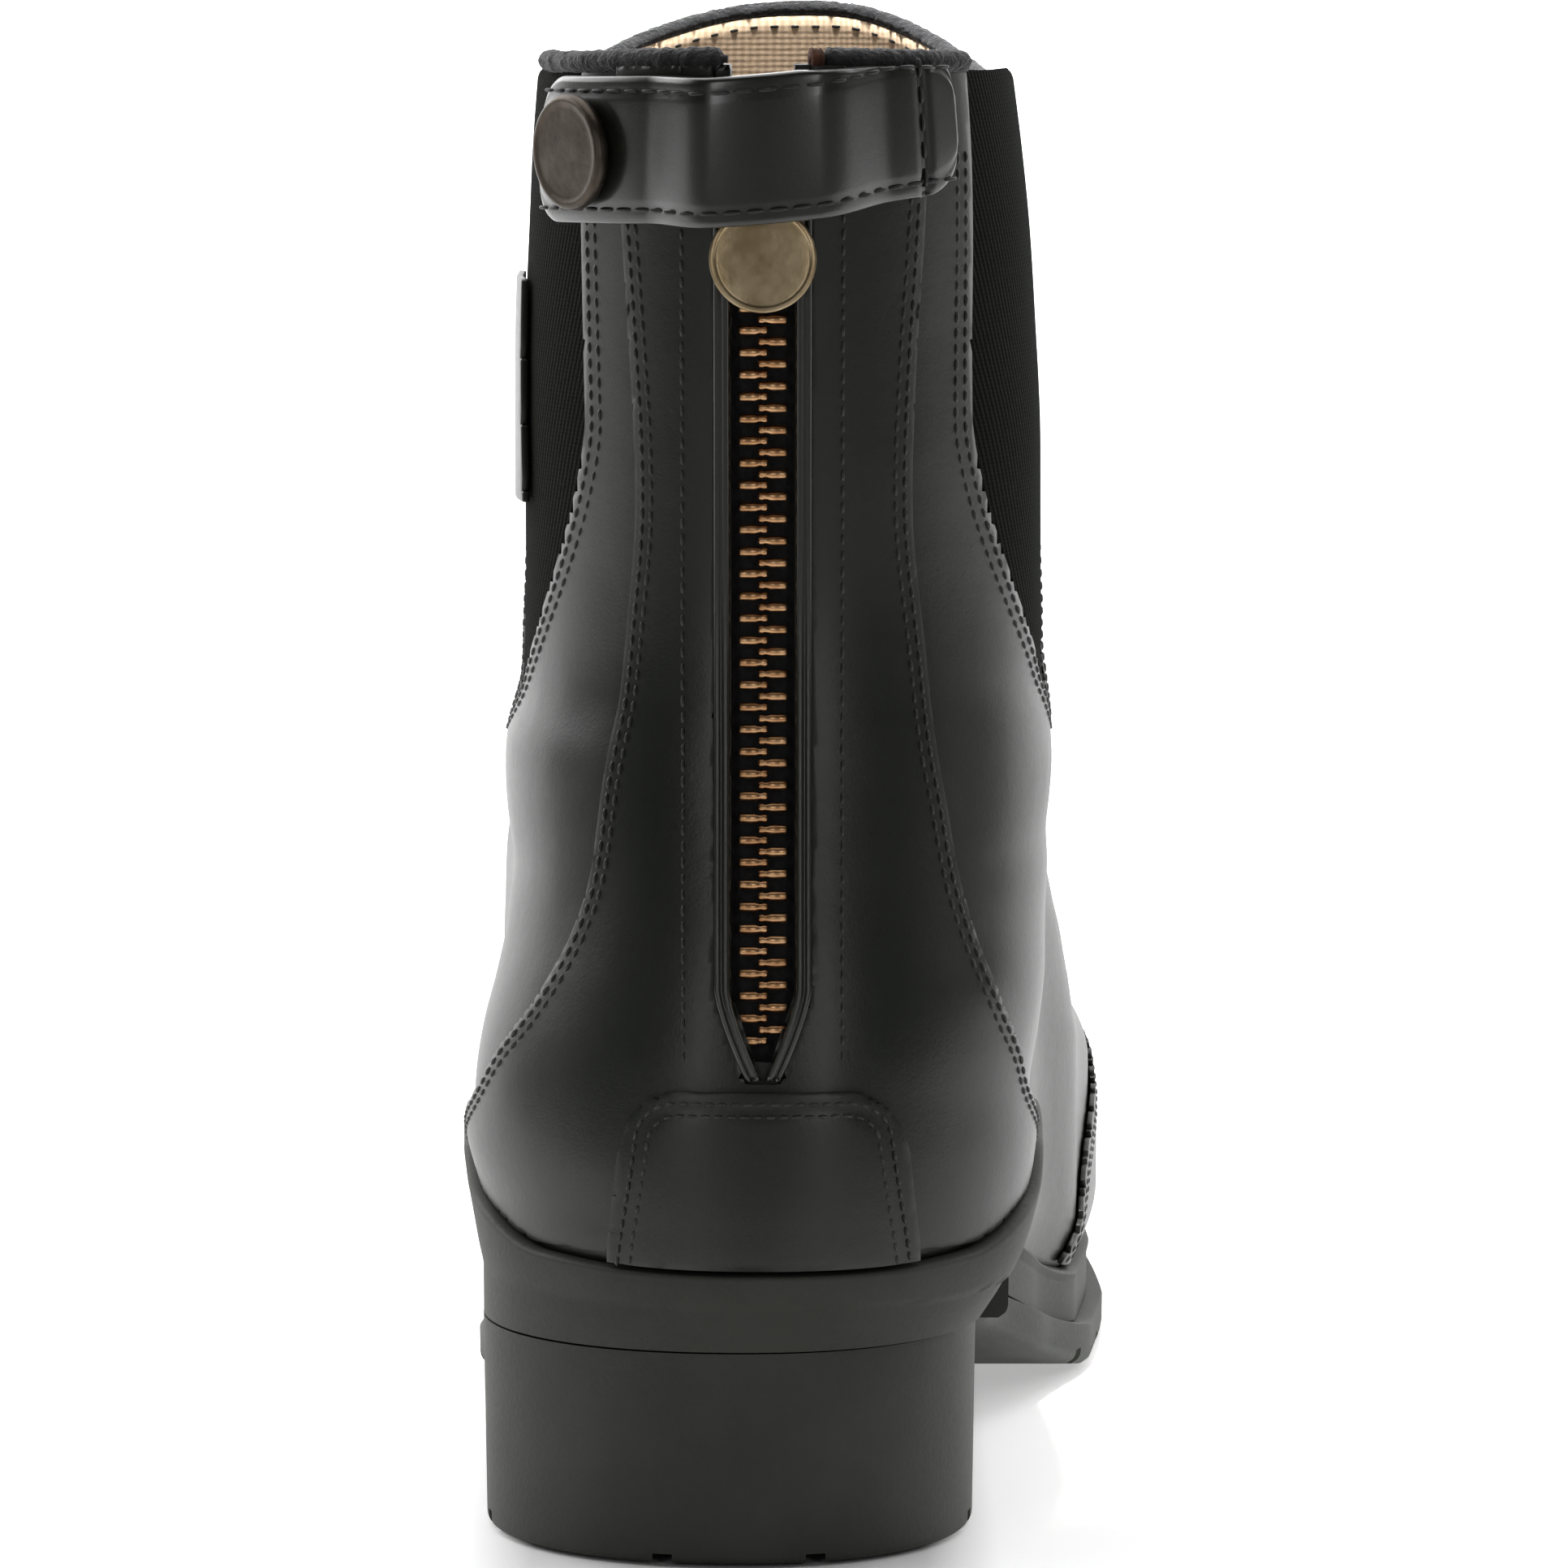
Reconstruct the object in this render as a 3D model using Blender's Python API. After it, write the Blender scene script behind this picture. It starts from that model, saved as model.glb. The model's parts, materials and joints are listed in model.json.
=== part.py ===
"""Left paddock boot with a back zip, elastic sides and a moulded rubber sole.

+Y runs from the heel to the toe, +X to the inner side of the foot, +Z up.
The origin lies on the floor under the middle of the heel block.
"""

import math
from collections import namedtuple

import bmesh
import bpy
from mathutils import Vector

MM = 0.001

# Driving sizes of the boot
UPPER_LENGTH = 268 * MM
HEEL_BACK = 37 * MM
SHAFT_DEPTH = 111 * MM
SHAFT_BREADTH = 70 * MM
BALL_BREADTH = 91 * MM
HEEL_HEIGHT = 28.5 * MM
SHAFT_RISE = 164 * MM
FRONT_RISE = 181.8 * MM
TOE_SPRING = 10 * MM
UPPER_WALL = 2.2 * MM
CLEARANCE = 0.3 * MM
SEAM_X = 4.6 * MM
COLLAR_FRONT_X = 11 * MM
BACK_POWER = 2.15
NOSE_POWER = 2.5
TOE_X = 13 * MM
COLLAR_DIP = 1 * MM

# Sole
CUP_FLOOR = 4 * MM
CUP_WALL = 2.6 * MM
CUP_GAP = 0.4 * MM
CUP_DRAFT = 0.4 * MM
CUP_STEPS = 4
OUTSOLE_THICKNESS = 6 * MM
GROUND_CUT = 0.4 * MM
WELT_FLANGE = 2.4 * MM
BLOCK_INSET = 2.7 * MM
BLOCK_SHIFT_X = -2.7 * MM
BLOCK_EDGE = 1.2 * MM
BLOCK_DRAFT = 0.4 * MM
BREAST_Y = 33 * MM
WAIST_START = 8 * MM
BALL_Y = 134 * MM
BALL_FLAT = 10 * MM
GROOVE_WIDTH = 2.6 * MM
GROOVE_DEPTH = 2.2 * MM
HEEL_GROOVE_SPACING = 19 * MM
TREAD_PITCH = 13 * MM
TREAD_BARS = 8
TREAD_BEFORE_BALL = 22 * MM
SOLE_EDGE = 1.4 * MM
INSOLE_THICKNESS = 3 * MM
INSOLE_GAP = 2.5 * MM

# Panels
OVERLAY = 0.9 * MM
OVER_GAP = 0.4 * MM
GUSSET_THICKNESS = 1.4 * MM
GUSSET_MIDDLE_Y = 19 * MM
GUSSET_HALF_WIDTH = 33 * MM
GUSSET_BOTTOM_Z = 109 * MM
GUSSET_SHOULDER_Z = 150 * MM
HEEL_PATCH_TOP_Z = 63 * MM
HEEL_PATCH_HALF_WIDTH = 20 * MM

# Zip, strap and hardware
SLOT_HALF_WIDTH = 4.2 * MM
SLOT_BOTTOM_Z = 64.5 * MM
SLOT_TAPER = 11.5 * MM
SLOT_TIP = 0.2 * MM
LIP_WIDTH = 2.1 * MM
LIP_GAP = 0.45 * MM
LIP_HEIGHT = 1.7 * MM
TAPE_HALF_WIDTH = 12 * MM
TAPE_THICKNESS = 0.8 * MM
TAPE_GAP = 0.7 * MM
DRAPE_STEP = 9 * MM
TOOTH_PITCH = 2.86 * MM
TOOTH_HEIGHT = 1.0 * MM
TOOTH_REACH = 0.8 * MM
TOOTH_ROOT = 3.3 * MM
TOOTH_SPINE = 0.6 * MM
TOOTH_THICKNESS = 1.8 * MM
CHAIN_SUNK = 0.4 * MM
STRAP_WIDTH = 19.2 * MM
STRAP_THICKNESS = 2.0 * MM
STRAP_BOTTOM_Z = 176.6 * MM
STRAP_LEVEL = 1.5 * MM
STRAP_HUMP = 5.6 * MM
STRAP_OUTER_END = -0.285
STRAP_INNER_END = 0.225
SNAP_RADIUS = 7.6 * MM
SNAP_THICKNESS = 2.4 * MM
PULL_RADIUS = 7 * MM
PULL_THICKNESS = 1.4 * MM
PIVOT_Z = 181.7 * MM
PIN_RADIUS = 0.6 * MM
RING_RADIUS = 1.5 * MM
SLIDER_WIDTH = 7.6 * MM
SLIDER_HEIGHT = 11 * MM
SLIDER_THICKNESS = 1.4 * MM
EAR_INSIDE = 1.9 * MM
EAR_THICKNESS = 1.2 * MM
EAR_END = 1.0 * MM
EAR_HALF_TIP = 1.4 * MM
EAR_HALF_FOOT = 2.2 * MM
PULL_DROP = 9.6 * MM
PULL_EDGE = 0.35 * MM
PULL_NECK_OVERLAP = 1.5 * MM
NECK_HALF_WIDTH = 1.1 * MM
NECK_HALF_THICKNESS = 0.5 * MM
RING_HALF_WIDTH = 1.45 * MM
PIN_PLAY = 0.25 * MM
SNAP_EDGE = 0.7 * MM
SNAP_AROUND = -0.208
SNAP_Z = 185.3 * MM
HEEL_GROOVES_X = 0.8 * MM
TAB_THICKNESS = 1.0 * MM
TAB_HALF_WIDTH = 12 * MM
TAB_BOTTOM_Z = 137 * MM
TAB_TOP_Z = 167 * MM

ZIP_ABOVE = 12 * MM
ZIP_BELOW = 5 * MM

# How far cutters reach beyond the boot
FAR_X = 90 * MM
BEYOND = 20 * MM
SKY_Z = 240 * MM
PATCH_FRONT_Y = -19 * MM

# Half of the points round the upper, and the rings up it
HALF_POINTS = 21
RING_STEPS = 21
GUSSET_RING = 8
TOE_CAP_RING = 11
PATCH_RING = 7

# Rings of the upper from the feather edge up to the collar. Heights are shares of
# SHAFT_RISE and FRONT_RISE, inset of SHAFT_DEPTH, reach of UPPER_LENGTH, outer and
# inner of SHAFT_BREADTH, round and nose of SHAFT_DEPTH. Sag is how far the ring
# follows the curve of the seat.
Ring = namedtuple("Ring", "back inset reach front sag outer inner round nose")
RINGS = [
    Ring(0.000, 0.020, 0.972, 0.000, 1.00, 0.49, 0.49, 0.33, 0.42),
    Ring(0.035, 0.004, 0.990, 0.032, 1.00, 0.508, 0.53, 0.34, 0.42),
    Ring(0.078, 0.000, 0.996, 0.074, 0.96, 0.528, 0.56, 0.36, 0.41),
    Ring(0.122, 0.000, 0.985, 0.117, 0.91, 0.555, 0.575, 0.37, 0.40),
    Ring(0.166, 0.002, 0.957, 0.158, 0.85, 0.555, 0.58, 0.38, 0.34),
    Ring(0.210, 0.007, 0.913, 0.194, 0.77, 0.54, 0.597, 0.39, 0.33),
    Ring(0.254, 0.018, 0.854, 0.228, 0.67, 0.515, 0.608, 0.39, 0.33),
    Ring(0.298, 0.032, 0.787, 0.267, 0.56, 0.495, 0.610, 0.40, 0.33),
    Ring(0.344, 0.050, 0.716, 0.315, 0.44, 0.487, 0.615, 0.40, 0.33),
    Ring(0.392, 0.068, 0.648, 0.373, 0.31, 0.495, 0.620, 0.41, 0.34),
    Ring(0.442, 0.084, 0.588, 0.435, 0.19, 0.50, 0.622, 0.42, 0.41),
    Ring(0.496, 0.095, 0.538, 0.497, 0.10, 0.477, 0.619, 0.43, 0.43),
    Ring(0.556, 0.099, 0.501, 0.561, 0.04, 0.470, 0.612, 0.43, 0.44),
    Ring(0.622, 0.096, 0.476, 0.629, 0.00, 0.470, 0.611, 0.44, 0.45),
    Ring(0.698, 0.087, 0.460, 0.707, 0.00, 0.470, 0.609, 0.44, 0.46),
    Ring(0.776, 0.074, 0.449, 0.782, 0.00, 0.468, 0.599, 0.45, 0.46),
    Ring(0.854, 0.060, 0.440, 0.857, 0.00, 0.460, 0.587, 0.45, 0.46),
    Ring(0.930, 0.046, 0.433, 0.928, 0.00, 0.452, 0.570, 0.45, 0.46),
    Ring(1.000, 0.036, 0.427, 1.000, 0.00, 0.440, 0.550, 0.45, 0.46),
]

# Plan of the foot: along is a share of UPPER_LENGTH, outer and inner of BALL_BREADTH
Station = namedtuple("Station", "along outer inner")
PLAN = [
    Station(0.20, 0.365, 0.40),
    Station(0.36, 0.375, 0.365),
    Station(0.50, 0.405, 0.465),
    Station(0.60, 0.420, 0.540),
    Station(0.72, 0.400, 0.570),
    Station(0.84, 0.345, 0.550),
    Station(1.00, 0.240, 0.460),
]

# Top edge of the rubber wall above the seat, in shares of HEEL_HEIGHT
Edge = namedtuple("Edge", "along rise")
CUP_EDGE = [
    Edge(0.00, 0.24),
    Edge(0.08, 0.28),
    Edge(0.18, 0.44),
    Edge(0.27, 0.54),
    Edge(0.36, 0.38),
    Edge(0.46, 0.18),
    Edge(0.58, 0.15),
    Edge(0.80, 0.17),
    Edge(1.00, 0.22),
]

# Seam between back and side panels, seen from the side: height is a share of
# SHAFT_RISE above the seat, along of UPPER_LENGTH from the rearmost point
Seam = namedtuple("Seam", "height along")
BACK_SEAM = [
    Seam(1.10, 0.035),
    Seam(0.72, 0.046),
    Seam(0.54, 0.054),
    Seam(0.43, 0.050),
    Seam(0.33, 0.044),
    Seam(0.245, 0.052),
    Seam(0.185, 0.075),
    Seam(0.14, 0.102),
    Seam(0.10, 0.150),
    Seam(0.03, 0.215),
]
TOE_SEAM = [
    Seam(-0.20, 0.545),
    Seam(-0.10, 0.570),
    Seam(-0.02, 0.635),
    Seam(0.05, 0.715),
    Seam(0.14, 0.765),
    Seam(0.40, 0.790),
]


def smoothstep(low, high, value):
    """Rises smoothly from 0 at low to 1 at high."""
    share = min(max((value - low) / (high - low), 0.0), 1.0)
    return share * share * (3 - 2 * share)


def through_rows(rows, place):
    """Smooth curve through equally spaced rows, with place from 0 to 1."""
    at = min(max(place, 0.0), 1.0) * (len(rows) - 1)
    i = min(int(at), len(rows) - 2)
    f = at - i
    before, a, b, after = (rows[min(max(i + k, 0), len(rows) - 1)] for k in (-1, 0, 1, 2))
    return [
        q + 0.5 * f * (r - p + f * (2 * p - 5 * q + 4 * r - s + f * (3 * (q - r) + s - p)))
        for p, q, r, s in zip(before, a, b, after)
    ]


def along_table(rows, along):
    """Smoothed values of a table whose first column is the place along the foot."""
    if along <= rows[0][0]:
        return rows[0][1:]
    for low, high in zip(rows, rows[1:]):
        if along <= high[0]:
            f = smoothstep(low[0], high[0], along)
            linear = (along - low[0]) / (high[0] - low[0])
            f = 0.5 * (f + linear)
            return [p + f * (q - p) for p, q in zip(low[1:], high[1:])]
    return rows[-1][1:]


def seat_z(y):
    """Height of the cup's floor, on which the upper and the insole stand."""
    ball = OUTSOLE_THICKNESS + CUP_FLOOR
    drop = smoothstep(BREAST_Y - WAIST_START, BALL_Y, y)
    toe = UPPER_LENGTH - HEEL_BACK
    lift_off = BALL_Y + BALL_FLAT
    spring = TOE_SPRING * max((y - lift_off) / (toe - lift_off), 0.0) ** 1.7
    return HEEL_HEIGHT + CUP_FLOOR + drop * (ball - HEEL_HEIGHT - CUP_FLOOR) + spring


def cap(share, power):
    """Quarter of a rounded end: 0 at its tip, 1 from one radius on."""
    share = min(max(share, 0.0), 1.0)
    return (1 - (1 - share) ** power) ** (1 / power)


def ring_point(height, around):
    """Point on the upper's form. height runs from 0 at the feather edge to 1 at the
    collar, around from 0 at the back seam to 1 (inner side) or -1 (outer side) at
    the front."""
    ring = Ring(*through_rows(RINGS, height))
    seat_back = seat_z(-HEEL_BACK)
    seat_toe = seat_z(UPPER_LENGTH - HEEL_BACK)
    back_y = -HEEL_BACK + ring.inset * SHAFT_DEPTH
    back_z = seat_back + CLEARANCE + ring.back * SHAFT_RISE
    front_y = -HEEL_BACK + ring.reach * UPPER_LENGTH
    front_z = seat_toe + CLEARANCE + ring.front * FRONT_RISE
    run = front_y - back_y
    share = (1 - math.cos(math.pi * abs(around))) / 2
    along = run * share
    y = back_y + along
    chord = seat_back + (seat_toe - seat_back) * share
    z = back_z + (front_z - back_z) * share + ring.sag * (seat_z(y) - chord)
    collar = back_z - COLLAR_DIP * smoothstep(0.05, 0.35, abs(around))
    collar += (front_z - back_z + COLLAR_DIP) * smoothstep(0.72, 1.0, abs(around))
    z += (collar - z) * smoothstep(0.84, 1.0, height)

    step = 0.02
    ahead = Ring(*through_rows(RINGS, height + step))
    behind = Ring(*through_rows(RINGS, height - step))
    slope_y = (ahead.reach - behind.reach) * UPPER_LENGTH
    slope_z = (ahead.front - behind.front) * FRONT_RISE
    steep = max(abs(slope_z) / math.hypot(slope_y, slope_z), 0.30)
    nose = ring.nose * SHAFT_DEPTH / steep
    rounding = cap(along / (ring.round * SHAFT_DEPTH), BACK_POWER) * cap((run - along) / nose, NOSE_POWER)

    plan = along_table(PLAN, (y + HEEL_BACK) / UPPER_LENGTH)
    shaft = (ring.outer * SHAFT_BREADTH, ring.inner * SHAFT_BREADTH)
    foot = smoothstep(20 * MM, 95 * MM, y) * (1 - smoothstep(0.45, 0.62, height))
    bulge = 0.955 + 0.075 * smoothstep(0.0, 0.10, height)
    side = 0 if around < 0 else 1
    middle = SEAM_X + (COLLAR_FRONT_X - SEAM_X) * share
    middle += (TOE_X - COLLAR_FRONT_X) * share * smoothstep(0.6, 0.2, height)
    low_middle = 2.4 * MM * math.sin(math.pi * share) * smoothstep(0.45, 0.0, height)
    edge = shaft[side] * (1 - foot) + plan[side] * BALL_BREADTH * bulge * foot
    edge_x = -edge + SEAM_X if around < 0 else edge
    x = middle - low_middle + (edge_x - middle + low_middle) * rounding
    return Vector((x, y, z))


def form(height, around, lift=0.0):
    """Point on the upper's form, lifted along the outward normal."""
    point = ring_point(height, around)
    if lift == 0.0:
        return point
    up_step = 0.004
    low = max(height - up_step, 0.0)
    high = min(height + up_step, 1.0)
    up = ring_point(high, around) - ring_point(low, around)
    turn = 0.008
    left = around - turn
    right = around + turn
    if left < -1:
        left += 2
    if right > 1:
        right -= 2
    across = ring_point(height, right) - ring_point(height, left)
    return point + across.cross(up).normalized() * lift


def rounds(count=HALF_POINTS):
    """Places round the upper, from the back seam over the inner side and back."""
    inner = [i / count for i in range(count + 1)]
    outer = [-(count - i) / count for i in range(1, count)]
    return inner + outer


def new_object(name, mesh, collection, material=None):
    """Links a mesh as an object of its own."""
    obj = bpy.data.objects.new(name, mesh)
    collection.objects.link(obj)
    if material:
        mesh.materials.append(material)
    return obj


def closed_mesh(name, rings, wrap):
    """Mesh of joined loops of equal length. With wrap, the last loop joins the first."""
    bm = bmesh.new()
    loops = [[bm.verts.new(p) for p in ring] for ring in rings]
    count = len(rings[0])
    pairs = list(zip(loops, loops[1:]))
    if wrap:
        pairs.append((loops[-1], loops[0]))
    for low, high in pairs:
        for i in range(count):
            j = (i + 1) % count
            bm.faces.new((low[i], low[j], high[j], high[i]))
    if not wrap:
        close_across(bm, loops[0])
        close_across(bm, loops[-1])
    bmesh.ops.recalc_face_normals(bm, faces=bm.faces)
    mesh = bpy.data.meshes.new(name)
    bm.to_mesh(mesh)
    bm.free()
    return mesh


def close_across(bm, loop):
    """Closes a loop with strips from side to side, so that it may be curved."""
    count = len(loop)
    for i in range(count // 2):
        corners = [loop[i], loop[i + 1], loop[(count - i - 1) % count], loop[(count - i) % count]]
        kept = []
        for corner in corners:
            if corner not in kept:
                kept.append(corner)
        if len(kept) > 2:
            bm.faces.new(kept)


def join_rows(bm, rows):
    """Triangles between neighbouring loops, all with the same diagonal."""
    for low, high in zip(rows, rows[1:]):
        for i in range(len(low)):
            j = (i + 1) % len(low)
            bm.faces.new((low[i], low[j], high[j]))
            bm.faces.new((low[i], high[j], high[i]))


def shell(name, low, high, collection, material=None, first=0, last=RING_STEPS):
    """Ring-shaped wall between two lifts of the upper's form."""
    heights = [i / RING_STEPS for i in range(first, last + 1)]
    bm = bmesh.new()
    inside, outside = (
        [[bm.verts.new(form(h, a, lift)) for a in rounds()] for h in heights]
        for lift in (low, high)
    )
    join_rows(bm, inside)
    join_rows(bm, outside)
    join_rows(bm, [inside[0], outside[0]])
    join_rows(bm, [inside[-1], outside[-1]])
    bmesh.ops.recalc_face_normals(bm, faces=bm.faces)
    mesh = bpy.data.meshes.new(name)
    bm.to_mesh(mesh)
    bm.free()
    return new_object(name, mesh, collection, material)


def prism(name, outline, axis, low, high, collection):
    """Cutter: a flat outline drawn out along X or Y."""
    ends = []
    for depth in (low, high):
        if axis == "X":
            ends.append([Vector((depth, a, b)) for a, b in outline])
        else:
            ends.append([Vector((a, depth, b)) for a, b in outline])
    bm = bmesh.new()
    loops = [[bm.verts.new(p) for p in end] for end in ends]
    count = len(outline)
    for i in range(count):
        j = (i + 1) % count
        bm.faces.new((loops[0][i], loops[0][j], loops[1][j], loops[1][i]))
    bm.faces.new(loops[0])
    bm.faces.new(loops[1])
    bmesh.ops.recalc_face_normals(bm, faces=bm.faces)
    mesh = bpy.data.meshes.new(name)
    bm.to_mesh(mesh)
    bm.free()
    obj = new_object(name, mesh, collection)
    obj.hide_render = True
    obj.display_type = "WIRE"
    return obj


def boolean(obj, cutter, operation):
    """Adds an exact Boolean modifier."""
    modifier = obj.modifiers.new(cutter.name, "BOOLEAN")
    modifier.operation = operation
    modifier.object = cutter
    modifier.solver = "EXACT"


def seam_points(rows):
    """Points of a side seam, in Y and Z."""
    seat = HEEL_HEIGHT + CUP_FLOOR
    places = [i / 18 for i in range(19)]
    found = [Seam(*through_rows(rows, place)) for place in places]
    return [(-HEEL_BACK + s.along * UPPER_LENGTH, seat + s.height * SHAFT_RISE) for s in found]


def cup_top_z(y):
    """Height of the rubber wall's top edge."""
    (rise,) = along_table(CUP_EDGE, (y + HEEL_BACK) / UPPER_LENGTH)
    return seat_z(y) + rise * HEEL_HEIGHT


def sole_envelope(collection):
    """Cutter that holds everything under the top edge of the rubber wall."""
    start = -HEEL_BACK - 20 * MM
    stop = UPPER_LENGTH - HEEL_BACK + 20 * MM
    places = [start + (stop - start) * i / 40 for i in range(41)]
    outline = [(y, cup_top_z(y) + 2 * CLEARANCE) for y in places]
    outline += [(stop, -10 * MM), (start, -10 * MM)]
    return prism("cut_sole_envelope", outline, "X", -FAR_X, FAR_X, collection)


def gusset_outline(grow):
    """U-shaped outline of the elastic in Y and Z, grown by a clearance."""
    top = seat_z(0) + SHAFT_RISE + 25 * MM
    half = GUSSET_HALF_WIDTH + grow
    drop = GUSSET_SHOULDER_Z - GUSSET_BOTTOM_Z + grow
    lower = []
    steps = 20
    for i in range(steps + 1):
        angle = math.pi * i / steps
        c, s = math.cos(angle), math.sin(angle)
        power = 1 / 0.72
        across = math.copysign(abs(c) ** power, c) * half
        lower.append((GUSSET_MIDDLE_Y - across, GUSSET_SHOULDER_Z - drop * s**power))
    lean = 3 * MM
    return [(GUSSET_MIDDLE_Y - half - lean, top)] + lower + [(GUSSET_MIDDLE_Y + half, top)]


def slot_outline(grow, top, deeper=0.0):
    """Zip opening in X and Z, with a pointed lower end."""
    half = SLOT_HALF_WIDTH + grow
    tip = SLOT_TIP + grow
    return [
        (SEAM_X - half, top),
        (SEAM_X - half, SLOT_BOTTOM_Z + SLOT_TAPER),
        (SEAM_X - tip, SLOT_BOTTOM_Z - deeper),
        (SEAM_X + tip, SLOT_BOTTOM_Z - deeper),
        (SEAM_X + half, SLOT_BOTTOM_Z + SLOT_TAPER),
        (SEAM_X + half, top),
    ]


def overlay(name, low, high, cutters, collection, material, first=0, last=RING_STEPS):
    """Panel cut from between two larger copies of the upper's form."""
    obj = shell(name, low, high, collection, material, first, last)
    for cutter, operation in cutters:
        boolean(obj, cutter, operation)
    return obj


def height_of(around, level, lift=0.0):
    """Place up the form, for one place round it, where it reaches a level in Z."""
    low, high = 0.0, 1.0
    for _ in range(24):
        middle = (low + high) / 2
        point = form(middle, around, lift)
        if point.z < (level(point.y) if callable(level) else level):
            low = middle
        else:
            high = middle
    return (low + high) / 2


def foot_outline(lift, level, places, draft=0.0):
    """Loop round the foot at the feather edge, lifted outwards and set to a level."""
    loop = []
    for around in places:
        edge = form(0.03, around, 0.0)
        ahead = ring_point(0.03, min(abs(around) + 0.01, 1.0) * (1 if around >= 0 else -1))
        behind = ring_point(0.03, max(abs(around) - 0.01, 0.0) * (1 if around >= 0 else -1))
        along = Vector((ahead.x - behind.x, ahead.y - behind.y, 0))
        if abs(around) in (0.0, 1.0):
            outward = Vector((0, -1 if around == 0 else 1, 0))
        else:
            outward = Vector((along.y, -along.x, 0)).normalized()
            if around < 0:
                outward = -outward
        grown = lift(edge.y) if callable(lift) else lift
        point = edge + outward * (grown - draft)
        loop.append(Vector((point.x, point.y, level(point.y))))
    return loop


def welt_reach(y):
    """How far the outsole stands out of the upper: a flange that fades at the waist."""
    wall = CUP_WALL + CLEARANCE
    return wall + WELT_FLANGE * smoothstep(70 * MM, 110 * MM, y)


def tread_z(y):
    """Underside of the cup, which the outsole and the heel block meet."""
    return seat_z(y) - CUP_FLOOR


def make_cup(collection, material):
    """Moulded rubber cup: a floor with a wall that rises to wings at the waist."""
    places = rounds()
    wall = CUP_WALL + CLEARANCE
    tops = [height_of(around, cup_top_z, CUP_GAP) for around in places]

    def ring(share, lift):
        return [form(top * share, around, lift) for top, around in zip(tops, places)]

    floor = [Vector((p.x, p.y, seat_z(p.y))) for p in ring(0.0, CUP_GAP)]
    shares = [i / CUP_STEPS for i in range(1, CUP_STEPS + 1)]
    rings = [foot_outline(wall, tread_z, places, draft=CUP_DRAFT)]
    rings += [ring(share, wall) for share in shares]
    rings += [ring(share, CUP_GAP) for share in reversed(shares)]
    rings.append(floor)
    return new_object("sole_cup", closed_mesh("sole_cup", rings, wrap=False), collection, material)


def sole_slab(name, loops, cutters, collection, material):
    """Closed layer of the sole through loops round the foot, then cut."""
    mesh = closed_mesh(name, loops, wrap=False)
    obj = new_object(name, mesh, collection, material)
    for cutter, operation in cutters:
        boolean(obj, cutter, operation)
    return obj


def outsole_under(y):
    """Ground side of the outsole, deep enough to be cut flat by the ground."""
    return tread_z(y) - OUTSOLE_THICKNESS - GROUND_CUT


def box_outline(low_a, high_a, low_b, high_b):
    """Rectangle as an outline."""
    return [(low_a, low_b), (high_a, low_b), (high_a, high_b), (low_a, high_b)]


def make_outsole(collection, cutters, material):
    """Forefoot and waist of the outsole, with a flange beyond the rubber wall."""
    places = rounds()
    keep = prism("cut_forefoot", box_outline(BREAST_Y + CLEARANCE, UPPER_LENGTH, -10 * MM, SKY_Z), "X",
                 -FAR_X, FAR_X, cutters)
    ground = prism("cut_ground", box_outline(0.0, UPPER_LENGTH, -10 * MM, 0.0), "X",
                   -FAR_X, FAR_X, cutters)
    tools = [(keep, "INTERSECT"), (ground, "DIFFERENCE")]
    for i in range(TREAD_BARS):
        y = BALL_Y - TREAD_BEFORE_BALL + i * TREAD_PITCH
        floor = max(outsole_under(y + GROOVE_WIDTH / 2), 0.0)
        bar = box_outline(y, y + GROOVE_WIDTH, floor - 5 * MM, floor + GROOVE_DEPTH)
        tools.append((prism(f"cut_tread_{i}", bar, "X", -FAR_X, FAR_X, cutters), "DIFFERENCE"))
    loops = [
        foot_outline(welt_reach, lambda y: tread_z(y) - CLEARANCE, places),
        foot_outline(welt_reach, lambda y: outsole_under(y) + SOLE_EDGE, places),
        foot_outline(lambda y: welt_reach(y) - SOLE_EDGE, outsole_under, places),
    ]
    return sole_slab("outsole", loops, tools, collection, material)


def make_heel_block(collection, cutters, material):
    """Stacked heel under the cup, with grooves in its tread."""
    places = rounds()
    keep = prism("cut_heel", box_outline(-90 * MM, BREAST_Y, -10 * MM, 60 * MM), "X",
                 -FAR_X, FAR_X, cutters)
    tools = [(keep, "INTERSECT")]
    for i, x in enumerate((-HEEL_GROOVE_SPACING / 2, HEEL_GROOVE_SPACING / 2)):
        line = HEEL_GROOVES_X + x
        groove = box_outline(line - GROOVE_WIDTH / 2, line + GROOVE_WIDTH / 2, -5 * MM, GROOVE_DEPTH)
        tool = prism(f"cut_heel_groove_{i}", groove, "Y", -FAR_X, FAR_X, cutters)
        tools.append((tool, "DIFFERENCE"))
    for i, y in enumerate((-8 * MM, 14 * MM)):
        groove = box_outline(y, y + GROOVE_WIDTH, -5 * MM, GROOVE_DEPTH)
        tool = prism(f"cut_heel_bar_{i}", groove, "X", -FAR_X, FAR_X, cutters)
        tools.append((tool, "DIFFERENCE"))
    reach = CUP_WALL + CLEARANCE - BLOCK_INSET
    loops = [
        foot_outline(reach, lambda y: tread_z(y) - CLEARANCE, places),
        foot_outline(reach - BLOCK_DRAFT, lambda y: BLOCK_EDGE, places),
        foot_outline(reach - BLOCK_DRAFT - 0.3 * BLOCK_EDGE, lambda y: 0.3 * BLOCK_EDGE, places),
        foot_outline(reach - BLOCK_DRAFT - BLOCK_EDGE, lambda y: 0.0, places),
    ]
    loops = [[point + Vector((BLOCK_SHIFT_X, 0, 0)) for point in loop] for loop in loops]
    return sole_slab("heel_block", loops, tools, collection, material)


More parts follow.
